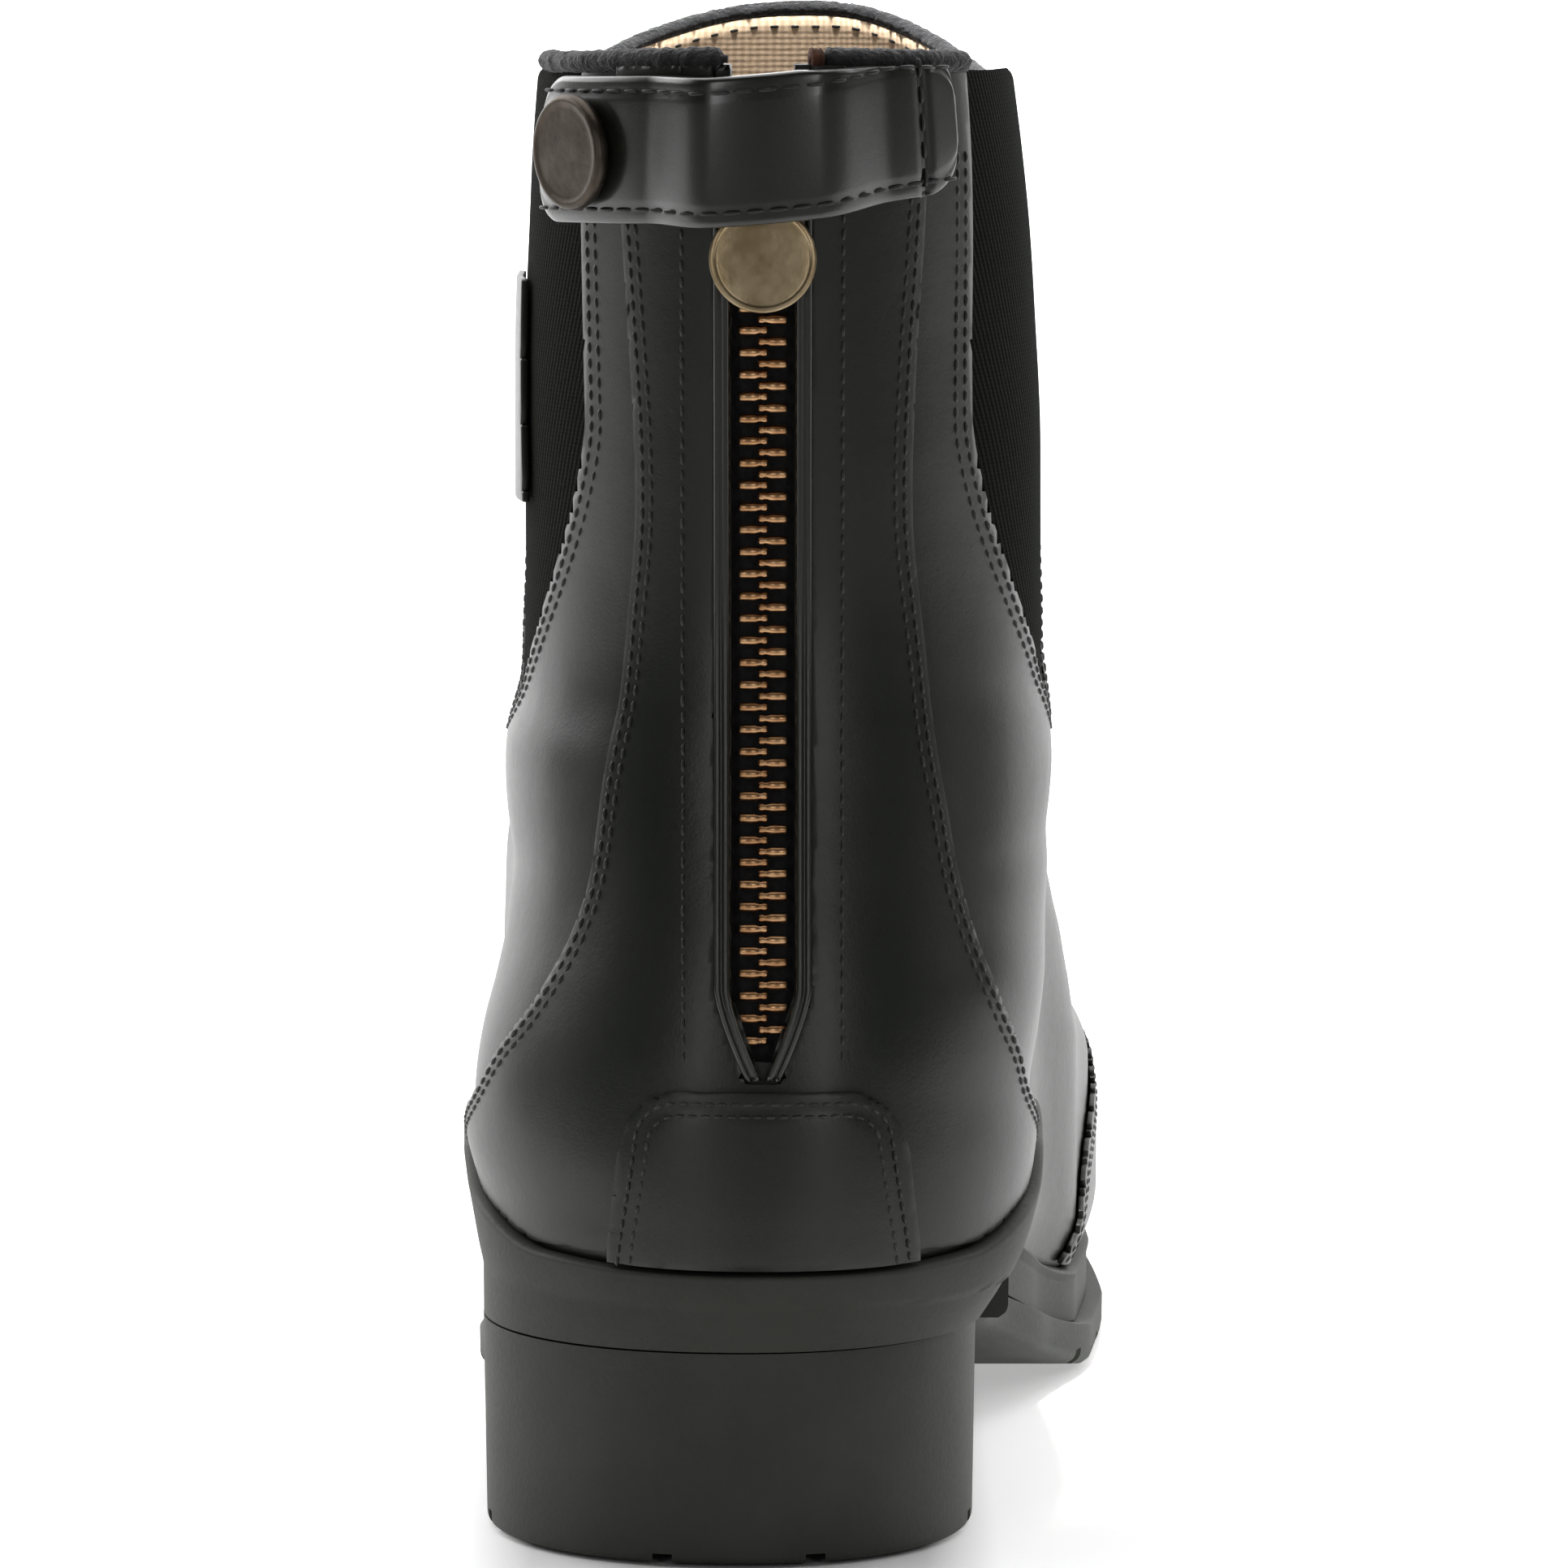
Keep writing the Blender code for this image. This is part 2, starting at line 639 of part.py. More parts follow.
def make_insole(collection, material):
    """Sock liner on the cup's floor, inside the upper."""
    inset = -(UPPER_WALL + INSOLE_GAP)
    loops = []
    for rise in (CLEARANCE + INSOLE_THICKNESS, CLEARANCE):
        loop = []
        for around in rounds():
            height = height_of(around, lambda y: seat_z(y) + rise)
            point = form(height, around, inset)
            loop.append(Vector((point.x, point.y, seat_z(point.y) + rise)))
        loops.append(loop)
    return new_object("insole", closed_mesh("insole", loops, wrap=False), collection, material)


def patch_outline():
    """Heel patch in X and Z: a tapered panel with rounded upper corners."""
    half = HEEL_PATCH_HALF_WIDTH
    top = HEEL_PATCH_TOP_Z
    right = [(half, 0.0), (half * 0.96, top - 20 * MM), (half * 0.90, top - 8 * MM)]
    corner = 7 * MM
    centre = (half * 0.87 - corner, top - corner)
    arc = [(centre[0] + corner * math.cos(a), centre[1] + corner * math.sin(a))
           for a in (math.radians(d) for d in (15, 38, 60, 90))]
    side = right + arc
    return [(SEAM_X + x, z) for x, z in side] + [(SEAM_X - x, z) for x, z in reversed(side)]


def on_back(x, z, lift):
    """Point of the lifted form that lies at X and Z on its back."""
    low, high = (-0.5, 0.0) if x < SEAM_X else (0.0, 0.5)
    height = height_of(0.0, z)
    for _ in range(16):
        around = (low + high) / 2
        if ring_point(height, around).x < x:
            low = around
        else:
            high = around
    return form(height_of(around, z), around, lift)


def draped(name, cells, low, high, collection, material):
    """Flat cells in X and Z, thickened and laid on the back of the form."""
    bm = bmesh.new()
    corners = {}
    edges = set()

    def corner(at, lift):
        if (at, lift) not in corners:
            corners[at, lift] = bm.verts.new(on_back(*at, lift))
        return corners[at, lift]

    for cell in cells:
        bm.faces.new([corner(at, high) for at in cell])
        bm.faces.new([corner(at, low) for at in reversed(cell)])
        edges.update(zip(cell, cell[1:] + cell[:1]))
    for a, b in edges:
        if (b, a) not in edges:
            bm.faces.new([corner(a, low), corner(b, low), corner(b, high), corner(a, high)])
    bmesh.ops.recalc_face_normals(bm, faces=bm.faces)
    mesh = bpy.data.meshes.new(name)
    bm.to_mesh(mesh)
    bm.free()
    return new_object(name, mesh, collection, material)


def cell_column(near, far, levels):
    """Cells between two places in X, one for each pair of levels."""
    return [[(near, a), (far, a), (far, b), (near, b)] for a, b in levels]


def make_teeth(name, side, collection, material):
    """Teeth of one side of the zip on their common root, bent along the back."""
    tip = SEAM_X - side * TOOTH_REACH
    root = SEAM_X + side * TOOTH_ROOT
    spine = root + side * TOOTH_SPINE
    bottom = SLOT_BOTTOM_Z + SLOT_TAPER + (TOOTH_PITCH / 2 if side > 0 else 0.0)
    count = int((PIVOT_Z - bottom) / TOOTH_PITCH)
    starts = [bottom + i * TOOTH_PITCH for i in range(count)]
    teeth = [(z, z + TOOTH_HEIGHT) for z in starts]
    gaps = [(low[1], high[0]) for low, high in zip(teeth, teeth[1:])]
    cells = cell_column(tip, root, teeth) + cell_column(root, spine, teeth + gaps)
    return draped(name, cells, -CHAIN_SUNK - TOOTH_THICKNESS, -CHAIN_SUNK, collection, material)


def strap_level(around):
    """How far the strap stands off the form: up over the slider, down at its ends."""
    hump = math.exp(-((around * SHAFT_DEPTH) / (17 * MM)) ** 2)
    return STRAP_LEVEL + (STRAP_HUMP - STRAP_LEVEL) * hump


def make_strap(collection, material):
    """Strap across the top of the zip, from the sewn inner end to the snap."""
    columns = 28
    rings = []
    for i in range(columns + 1):
        share = i / columns
        around = STRAP_OUTER_END + (STRAP_INNER_END - STRAP_OUTER_END) * share
        end = min(share, 1 - share) * columns
        trim = {0: 0.62, 1: 0.86, 2: 0.97}.get(int(round(end)), 1.0)
        middle = STRAP_BOTTOM_Z + STRAP_WIDTH / 2 + (share - 0.5) * 2 * MM
        half = STRAP_WIDTH / 2 * trim
        level = strap_level(around)
        ring = []
        for z_share, lift in ((-1, 0), (1, 0), (1, 0.7), (0.94, 1), (-0.94, 1), (-1, 0.7)):
            height = height_of(around, middle + z_share * half)
            ring.append(form(height, around, level + lift * STRAP_THICKNESS))
        rings.append(ring)
    mesh = closed_mesh("strap", rings, wrap=False)
    return new_object("strap", mesh, collection, material)


def turned(name, profile, centre, axis, collection, material=None, points=24):
    """Turned piece about an axis, from radii and places along the axis."""
    turn = axis.to_track_quat("Z", "Y")
    angles = [2 * math.pi * i / points for i in range(points)]
    rings = [
        [centre + turn @ Vector((r * math.cos(a), r * math.sin(a), along)) for a in angles]
        for r, along in profile
    ]
    return new_object(name, closed_mesh(name, rings, wrap=False), collection, material)


def bar_along_x(name, radius, centre, half_length, collection):
    """Round bar along X, to be joined or cut out."""
    profile = [(radius, -half_length), (radius, half_length)]
    obj = turned(name, profile, centre, Vector((1, 0, 0)), collection, points=16)
    obj.hide_render = True
    obj.display_type = "WIRE"
    return obj


def coin_profile(radius, thickness, edge):
    """Profile of a coin with a softened rim and a shallow dish in its face."""
    half = thickness / 2
    return [
        (radius - edge, -half),
        (radius, -half + edge),
        (radius, half - edge),
        (radius - edge, half),
        (radius - 2 * edge, half),
        (radius - 2.6 * edge, half - 0.25 * MM),
    ]


def pull_pivot():
    """Middle of the pin on which the pull swings."""
    lift = CLEARANCE - CHAIN_SUNK + SLIDER_THICKNESS + CLEARANCE + RING_RADIUS
    return on_back(SEAM_X, PIVOT_Z, lift)


def make_slider(collection, cutters, material):
    """Zip slider: a plate on the chain with two ears and the pin of the pull."""
    half = SLIDER_WIDTH / 2
    levels = levels_between(PIVOT_Z - SLIDER_HEIGHT / 2, PIVOT_Z + SLIDER_HEIGHT / 2, 3 * MM)
    pairs = list(zip(levels, levels[1:]))
    cells = cell_column(SEAM_X - half, SEAM_X, pairs) + cell_column(SEAM_X, SEAM_X + half, pairs)
    low = CLEARANCE - CHAIN_SUNK
    obj = draped("zip_slider", cells, low, low + SLIDER_THICKNESS, collection, material)
    pivot = pull_pivot()
    plate_y = on_back(SEAM_X, PIVOT_Z, 0.5 * SLIDER_THICKNESS).y
    ear = [
        (pivot.y - EAR_END, PIVOT_Z - EAR_HALF_TIP),
        (plate_y, PIVOT_Z - EAR_HALF_FOOT),
        (plate_y, PIVOT_Z + EAR_HALF_FOOT),
        (pivot.y - EAR_END, PIVOT_Z + EAR_HALF_TIP),
    ]
    for name, near, far in (("join_ear_outer", -EAR_INSIDE - EAR_THICKNESS, -EAR_INSIDE),
                            ("join_ear_inner", EAR_INSIDE, EAR_INSIDE + EAR_THICKNESS)):
        boolean(obj, prism(name, ear, "X", SEAM_X + near, SEAM_X + far, cutters), "UNION")
    reach = EAR_INSIDE + 0.5 * EAR_THICKNESS
    boolean(obj, bar_along_x("join_pin", PIN_RADIUS, pivot, reach, cutters), "UNION")
    return obj


def make_pull(collection, cutters, material):
    """Round pull that hangs from the slider by a ring."""
    pivot = pull_pivot()
    centre = pivot - Vector((0, 0, PULL_DROP))
    profile = coin_profile(PULL_RADIUS, PULL_THICKNESS, PULL_EDGE)
    obj = turned("zip_pull", profile, centre, Vector((0, -1, 0)), collection, material)
    neck_foot = centre.z + PULL_RADIUS - PULL_NECK_OVERLAP
    neck = prism("join_neck", box_outline(SEAM_X - NECK_HALF_WIDTH, SEAM_X + NECK_HALF_WIDTH,
                 neck_foot, PIVOT_Z), "Y", pivot.y - NECK_HALF_THICKNESS,
                 pivot.y + NECK_HALF_THICKNESS, cutters)
    boolean(obj, neck, "UNION")
    boolean(obj, bar_along_x("join_ring", RING_RADIUS, pivot, RING_HALF_WIDTH, cutters), "UNION")
    hole = bar_along_x("cut_ring", PIN_RADIUS + PIN_PLAY, pivot, 2 * EAR_INSIDE, cutters)
    boolean(obj, hole, "DIFFERENCE")
    return obj


def make_snap(collection, material):
    """Cap of the strap's snap, square to the strap."""
    at = form(height_of(SNAP_AROUND, SNAP_Z), SNAP_AROUND)
    outward = (form(height_of(SNAP_AROUND, SNAP_Z), SNAP_AROUND, MM) - at).normalized()
    lift = strap_level(SNAP_AROUND) + STRAP_THICKNESS + CLEARANCE + 0.5 * SNAP_THICKNESS
    profile = coin_profile(SNAP_RADIUS, SNAP_THICKNESS, SNAP_EDGE)
    return turned("snap_cap", profile, at + outward * lift, outward, collection, material)


def seam_cutter(name, rows, end_y, cutters):
    """Cutter that keeps a panel from its side seam to an end in Y."""
    line = seam_points(rows)
    outline = line + [(end_y, line[-1][1]), (end_y, line[0][1])]
    return prism(name, outline, "X", -FAR_X, FAR_X, cutters)


def make_leather_parts(collection, cutters, leather, elastic):
    """Upper with its elastic sides and the panels laid on it."""
    behind = -HEEL_BACK - BEYOND
    ahead = UPPER_LENGTH - HEEL_BACK + BEYOND
    gusset = prism("cut_gusset", gusset_outline(0.0), "X", -FAR_X, FAR_X, cutters)
    slot = prism("cut_slot", slot_outline(0.0, SKY_Z), "Y", behind, 0.0, cutters)
    wide = slot_outline(LIP_WIDTH + LIP_GAP, SKY_Z, LIP_GAP)
    wide_slot = prism("cut_wide_slot", wide, "Y", behind, 0.0, cutters)
    envelope = sole_envelope(cutters)

    overlay("upper", -UPPER_WALL, 0.0, [(gusset, "DIFFERENCE"), (slot, "DIFFERENCE")],
            collection, leather)

    sunk = (UPPER_WALL - GUSSET_THICKNESS) / 2
    for name, near, far in (("gusset_outer", -FAR_X, SEAM_X), ("gusset_inner", SEAM_X, FAR_X)):
        shape = prism(f"cut_{name}", gusset_outline(-CLEARANCE), "X", near, far, cutters)
        overlay(name, -sunk - GUSSET_THICKNESS, -sunk, [(shape, "INTERSECT")], collection,
                elastic, first=GUSSET_RING)

    over = (OVER_GAP, OVER_GAP + OVERLAY)
    toe = seam_cutter("cut_toe_cap", TOE_SEAM, ahead, cutters)
    overlay("toe_cap", *over, [(toe, "INTERSECT"), (envelope, "DIFFERENCE")], collection,
            leather, last=TOE_CAP_RING)
    back = seam_cutter("cut_back_panel", BACK_SEAM, behind, cutters)
    overlay("back_panel", *over,
            [(back, "INTERSECT"), (envelope, "DIFFERENCE"), (wide_slot, "DIFFERENCE")],
            collection, leather)

    patch = prism("cut_heel_patch", patch_outline(), "Y", behind, PATCH_FRONT_Y, cutters)
    overlay("heel_patch", 2 * OVER_GAP + OVERLAY, 2 * (OVER_GAP + OVERLAY),
            [(patch, "INTERSECT"), (envelope, "DIFFERENCE")], collection, leather,
            last=PATCH_RING)

    tab = box_outline(GUSSET_MIDDLE_Y - TAB_HALF_WIDTH, GUSSET_MIDDLE_Y + TAB_HALF_WIDTH,
                      TAB_BOTTOM_Z, TAB_TOP_Z)
    shape = prism("cut_side_tab", tab, "X", -FAR_X, SEAM_X, cutters)
    tab_low = CLEARANCE - sunk
    overlay("side_tab", tab_low, tab_low + TAB_THICKNESS, [(shape, "INTERSECT")], collection,
            leather, first=GUSSET_RING)


def levels_between(low, high, step):
    """Equal levels from low to high, at most a step apart."""
    count = math.ceil((high - low) / step)
    return [low + (high - low) * i / count for i in range(count + 1)]


def make_lip(name, side, top, collection, material):
    """Folded leather edge along one side of the zip opening."""
    inner = slot_outline(0.0, top)
    outer = slot_outline(LIP_WIDTH, top)
    first = 1 if side < 0 else 4
    (near, bend_z), (tip, _) = inner[first], inner[first + 1 if side < 0 else first - 1]
    far = outer[first][0]
    far_tip = outer[first + 1 if side < 0 else first - 1][0]
    levels = levels_between(bend_z, top, DRAPE_STEP)
    cells = cell_column(near, far, zip(levels, levels[1:]))
    cells.append([(tip, SLOT_BOTTOM_Z), (far_tip, SLOT_BOTTOM_Z), (far, bend_z), (near, bend_z)])
    return draped(name, cells, CLEARANCE, LIP_HEIGHT, collection, material)


def make_tape(top, collection, material):
    """Cloth tape of the zip, on the inside of the upper."""
    levels = levels_between(SLOT_BOTTOM_Z - ZIP_BELOW, top, DRAPE_STEP)
    columns = [SEAM_X + TAPE_HALF_WIDTH * share for share in (-1.0, -0.5, 0.0, 0.5, 1.0)]
    cells = []
    for near, far in zip(columns, columns[1:]):
        cells += cell_column(near, far, zip(levels, levels[1:]))
    outside = -UPPER_WALL - TAPE_GAP
    return draped("zip_tape", cells, outside - TAPE_THICKNESS, outside, collection, material)


def make_zip(collection, cutters, leather, tape, metal, brass):
    """Zip: its tape, the two rows of teeth, the leather lips, slider and pull."""
    top = PIVOT_Z + ZIP_ABOVE
    make_tape(top, collection, tape)
    for name, side in (("outer", -1), ("inner", 1)):
        make_lip(f"zip_lip_{name}", side, top, collection, leather)
        make_teeth(f"zip_teeth_{name}", side, collection, metal)
    make_slider(collection, cutters, brass)
    make_pull(collection, cutters, brass)


def principled(name, colour, roughness, metallic=0.0):
    """Principled material of one colour."""
    found = bpy.data.materials.new(name)
    found.use_nodes = True
    shader = found.node_tree.nodes["Principled BSDF"]
    shader.inputs["Base Color"].default_value = (*colour, 1)
    shader.inputs["Roughness"].default_value = roughness
    shader.inputs["Metallic"].default_value = metallic
    found.diffuse_color = (*colour, 1)
    return found


def new_collection(name):
    """Collection linked to the scene."""
    found = bpy.data.collections.new(name)
    bpy.context.scene.collection.children.link(found)
    return found


def main():
    """Builds the boot."""
    for obj in list(bpy.data.objects):
        bpy.data.objects.remove(obj)
    boot = new_collection("paddock_boot")
    cutters = new_collection("cutters")
    cutters.hide_render = True

    leather = principled("leather", (0.022, 0.023, 0.021), 0.35)
    elastic = principled("elastic", (0.012, 0.012, 0.013), 0.8)
    rubber = principled("rubber", (0.028, 0.028, 0.026), 0.65)
    lining = principled("lining", (0.55, 0.38, 0.23), 0.9)
    tape = principled("zip_tape", (0.01, 0.01, 0.01), 0.85)
    brass = principled("antique_brass", (0.30, 0.22, 0.13), 0.4, 1.0)
    copper = principled("tooth_metal", (0.45, 0.24, 0.11), 0.35, 1.0)

    make_leather_parts(boot, cutters, leather, elastic)
    make_zip(boot, cutters, leather, tape, copper, brass)
    make_strap(boot, leather)
    make_snap(boot, brass)
    make_cup(boot, rubber)
    make_outsole(boot, cutters, rubber)
    make_heel_block(boot, cutters, rubber)
    make_insole(boot, lining)


if __name__ == "__main__":
    main()
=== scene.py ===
"""Left paddock boot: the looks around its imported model.

+Y runs from the heel to the toe, +X to the inner side of the foot, +Z up, in metres.
"""

import json
import logging
import math
from collections.abc import Callable, Sequence
from dataclasses import dataclass
from enum import Enum

import bmesh
import bpy
import numpy as np
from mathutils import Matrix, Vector

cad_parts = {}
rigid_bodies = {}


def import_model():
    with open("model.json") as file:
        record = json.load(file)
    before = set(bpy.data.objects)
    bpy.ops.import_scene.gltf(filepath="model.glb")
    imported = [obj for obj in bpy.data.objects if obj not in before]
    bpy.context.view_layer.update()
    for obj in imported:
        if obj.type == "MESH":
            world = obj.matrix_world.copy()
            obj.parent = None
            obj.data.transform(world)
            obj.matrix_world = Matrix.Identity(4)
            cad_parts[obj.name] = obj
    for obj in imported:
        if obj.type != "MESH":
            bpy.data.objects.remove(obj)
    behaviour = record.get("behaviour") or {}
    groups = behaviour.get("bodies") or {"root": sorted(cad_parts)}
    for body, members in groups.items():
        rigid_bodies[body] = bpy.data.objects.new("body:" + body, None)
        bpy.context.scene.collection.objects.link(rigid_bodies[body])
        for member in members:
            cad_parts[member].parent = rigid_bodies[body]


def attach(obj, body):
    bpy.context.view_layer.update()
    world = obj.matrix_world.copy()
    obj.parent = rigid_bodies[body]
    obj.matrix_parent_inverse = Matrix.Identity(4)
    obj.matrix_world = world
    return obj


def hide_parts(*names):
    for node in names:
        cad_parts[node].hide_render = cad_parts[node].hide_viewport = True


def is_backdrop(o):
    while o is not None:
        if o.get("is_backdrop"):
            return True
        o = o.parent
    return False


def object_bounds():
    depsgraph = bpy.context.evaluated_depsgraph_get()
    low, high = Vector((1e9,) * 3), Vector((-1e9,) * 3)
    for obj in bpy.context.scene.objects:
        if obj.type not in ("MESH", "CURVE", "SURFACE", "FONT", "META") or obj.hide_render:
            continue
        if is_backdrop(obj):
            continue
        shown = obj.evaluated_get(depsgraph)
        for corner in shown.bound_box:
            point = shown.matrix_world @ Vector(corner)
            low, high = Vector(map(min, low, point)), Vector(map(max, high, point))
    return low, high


MM = 0.001
WHITE = (1.0, 1.0, 1.0, 1.0)
LOG = logging.getLogger("paddock_boot")

# Rings of the upper, from the feather edge up to the collar. Columns: back, inset, reach,
# front, sag, outer, inner, round, nose
RINGS = np.array([
    (0.000, 0.020, 0.972, 0.000, 1.00, 0.49, 0.49, 0.33, 0.42),
    (0.035, 0.004, 0.990, 0.032, 1.00, 0.508, 0.53, 0.34, 0.42),
    (0.078, 0.000, 0.996, 0.074, 0.96, 0.528, 0.56, 0.36, 0.41),
    (0.122, 0.000, 0.985, 0.117, 0.91, 0.555, 0.575, 0.37, 0.40),
    (0.166, 0.002, 0.957, 0.158, 0.85, 0.555, 0.58, 0.38, 0.34),
    (0.210, 0.007, 0.913, 0.194, 0.77, 0.54, 0.597, 0.39, 0.33),
    (0.254, 0.018, 0.854, 0.228, 0.67, 0.515, 0.608, 0.39, 0.33),
    (0.298, 0.032, 0.787, 0.267, 0.56, 0.495, 0.610, 0.40, 0.33),
    (0.344, 0.050, 0.716, 0.315, 0.44, 0.487, 0.615, 0.40, 0.33),
    (0.392, 0.068, 0.648, 0.373, 0.31, 0.495, 0.620, 0.41, 0.34),
    (0.442, 0.084, 0.588, 0.435, 0.19, 0.50, 0.622, 0.42, 0.41),
    (0.496, 0.095, 0.538, 0.497, 0.10, 0.477, 0.619, 0.43, 0.43),
    (0.556, 0.099, 0.501, 0.561, 0.04, 0.470, 0.612, 0.43, 0.44),
    (0.622, 0.096, 0.476, 0.629, 0.00, 0.470, 0.611, 0.44, 0.45),
    (0.698, 0.087, 0.460, 0.707, 0.00, 0.470, 0.609, 0.44, 0.46),
    (0.776, 0.074, 0.449, 0.782, 0.00, 0.468, 0.599, 0.45, 0.46),
    (0.854, 0.060, 0.440, 0.857, 0.00, 0.460, 0.587, 0.45, 0.46),
    (0.930, 0.046, 0.433, 0.928, 0.00, 0.452, 0.570, 0.45, 0.46),
    (1.000, 0.036, 0.427, 1.000, 0.00, 0.440, 0.550, 0.45, 0.46),
])

# Plan of the foot. Columns: along, outer, inner
PLAN = np.array([
    (0.20, 0.365, 0.40),
    (0.36, 0.375, 0.365),
    (0.50, 0.405, 0.465),
    (0.60, 0.420, 0.540),
    (0.72, 0.400, 0.570),
    (0.84, 0.345, 0.550),
    (1.00, 0.240, 0.460),
])

# Top edge of the rubber wall. Columns: along, rise
CUP_EDGE = np.array([
    (0.00, 0.24),
    (0.05, 0.28),
    (0.11, 0.43),
    (0.18, 0.62),
    (0.27, 0.72),
    (0.36, 0.48),
    (0.46, 0.18),
    (0.58, 0.15),
    (0.80, 0.17),
    (1.00, 0.22),
])

# Side seams. Columns: height, along
BACK_SEAM = np.array([
    (1.10, 0.0440),
    (0.72, 0.0555),
    (0.54, 0.0640),
    (0.43, 0.0610),
    (0.33, 0.0560),
    (0.252, 0.0650),
    (0.201, 0.0880),
    (0.1625, 0.1115),
    (0.124, 0.1590),
    (0.054, 0.2240),
])
TOE_SEAM = np.array([
    (-0.20, 0.550),
    (-0.10, 0.575),
    (-0.02, 0.645),
    (0.05, 0.740),
    (0.14, 0.800),
    (0.40, 0.840),
])

# Soft folds. Columns: height, around, half height, half around, depth in mm, slant
FOLDS = np.array([
    (0.62, 0.42, 0.020, 0.16, 0.50, 0.10),
    (0.55, 0.46, 0.022, 0.15, -0.35, 0.12),
    (0.49, 0.40, 0.020, 0.18, 0.45, 0.16),
    (0.60, -0.42, 0.022, 0.16, 0.45, 0.08),
    (0.52, -0.46, 0.024, 0.16, -0.35, 0.10),
    (0.46, -0.40, 0.020, 0.15, 0.40, 0.14),
    (0.56, 0.93, 0.026, 0.14, 0.60, 0.00),
    (0.50, 0.97, 0.024, 0.12, -0.45, 0.00),
    (0.56, -0.93, 0.026, 0.14, 0.60, 0.00),
    (0.50, -0.97, 0.024, 0.12, -0.45, 0.00),
    (0.40, 0.80, 0.014, 0.10, 0.30, -0.10),
    (0.40, -0.80, 0.014, 0.10, 0.30, -0.10),
])


class Side(Enum):
    """Sides of the boot."""

    OUTER = -1
    INNER = 1

    @property
    def label(self) -> str:
        """Name of the side in the names of the pieces."""
        return self.name.lower()


def smoothstep(low: float, high: float, value: np.ndarray) -> np.ndarray:
    """Smooth rise between two values.

    Args:
        low: Where the rise starts.
        high: Where it ends.
        value: Places to look at.

    Returns:
        Shares from 0 to 1.
    """
    share = np.clip((np.asarray(value, float) - low) / (high - low), 0.0, 1.0)
    return share * share * (3 - 2 * share)


def through_rows(rows: np.ndarray, place: np.ndarray) -> np.ndarray:
    """Smooth curve through equally spaced rows.

    Args:
        rows: Table, a row for each station.
        place: Places from 0 to 1.

    Returns:
        One row of values for each place.
    """
    at = np.clip(np.asarray(place, float), 0.0, 1.0) * (len(rows) - 1)
    i = np.minimum(at.astype(int), len(rows) - 2)
    f = (at - i)[:, None]
    last = len(rows) - 1
    p, q, r, s = (rows[np.clip(i + k, 0, last)] for k in (-1, 0, 1, 2))
    return q + 0.5 * f * (r - p + f * (2 * p - 5 * q + 4 * r - s + f * (3 * (q - r) + s - p)))


def along_table(rows: np.ndarray, along: np.ndarray) -> np.ndarray:
    """Smoothed values of a table whose first column is the place along the foot.

    Args:
        rows: Table.
        along: Shares of the length.

    Returns:
        The other columns, a row for each share.
    """
    along = np.clip(np.asarray(along, float), rows[0, 0], rows[-1, 0])
    i = np.clip(np.searchsorted(rows[:, 0], along, side="left") - 1, 0, len(rows) - 2)
    low, high = rows[i], rows[i + 1]
    linear = (along - low[:, 0]) / (high[:, 0] - low[:, 0])
    f = 0.5 * (linear + linear * linear * (3 - 2 * linear))
    return low[:, 1:] + f[:, None] * (high[:, 1:] - low[:, 1:])


def walked(points: np.ndarray) -> np.ndarray:
    """Distance along a row of points up to each of them."""
    steps = np.linalg.norm(np.diff(points, axis=0), axis=1)
    return np.concatenate([[0.0], np.cumsum(steps)])


def bisect(goes_on: Callable[[np.ndarray], np.ndarray], low: np.ndarray, high: np.ndarray) -> np.ndarray:
    """Bisection for many places at once.

    Args:
        goes_on: Says for each place whether the answer lies higher.
        low: Lower bounds.
        high: Upper bounds.

    Returns:
        The places where the test changes.
    """
    low, high = np.array(low, float), np.array(high, float)
    for _ in range(26):
        middle = (low + high) / 2
        above = goes_on(middle)
        low = np.where(above, middle, low)
        high = np.where(above, high, middle)
    return (low + high) / 2


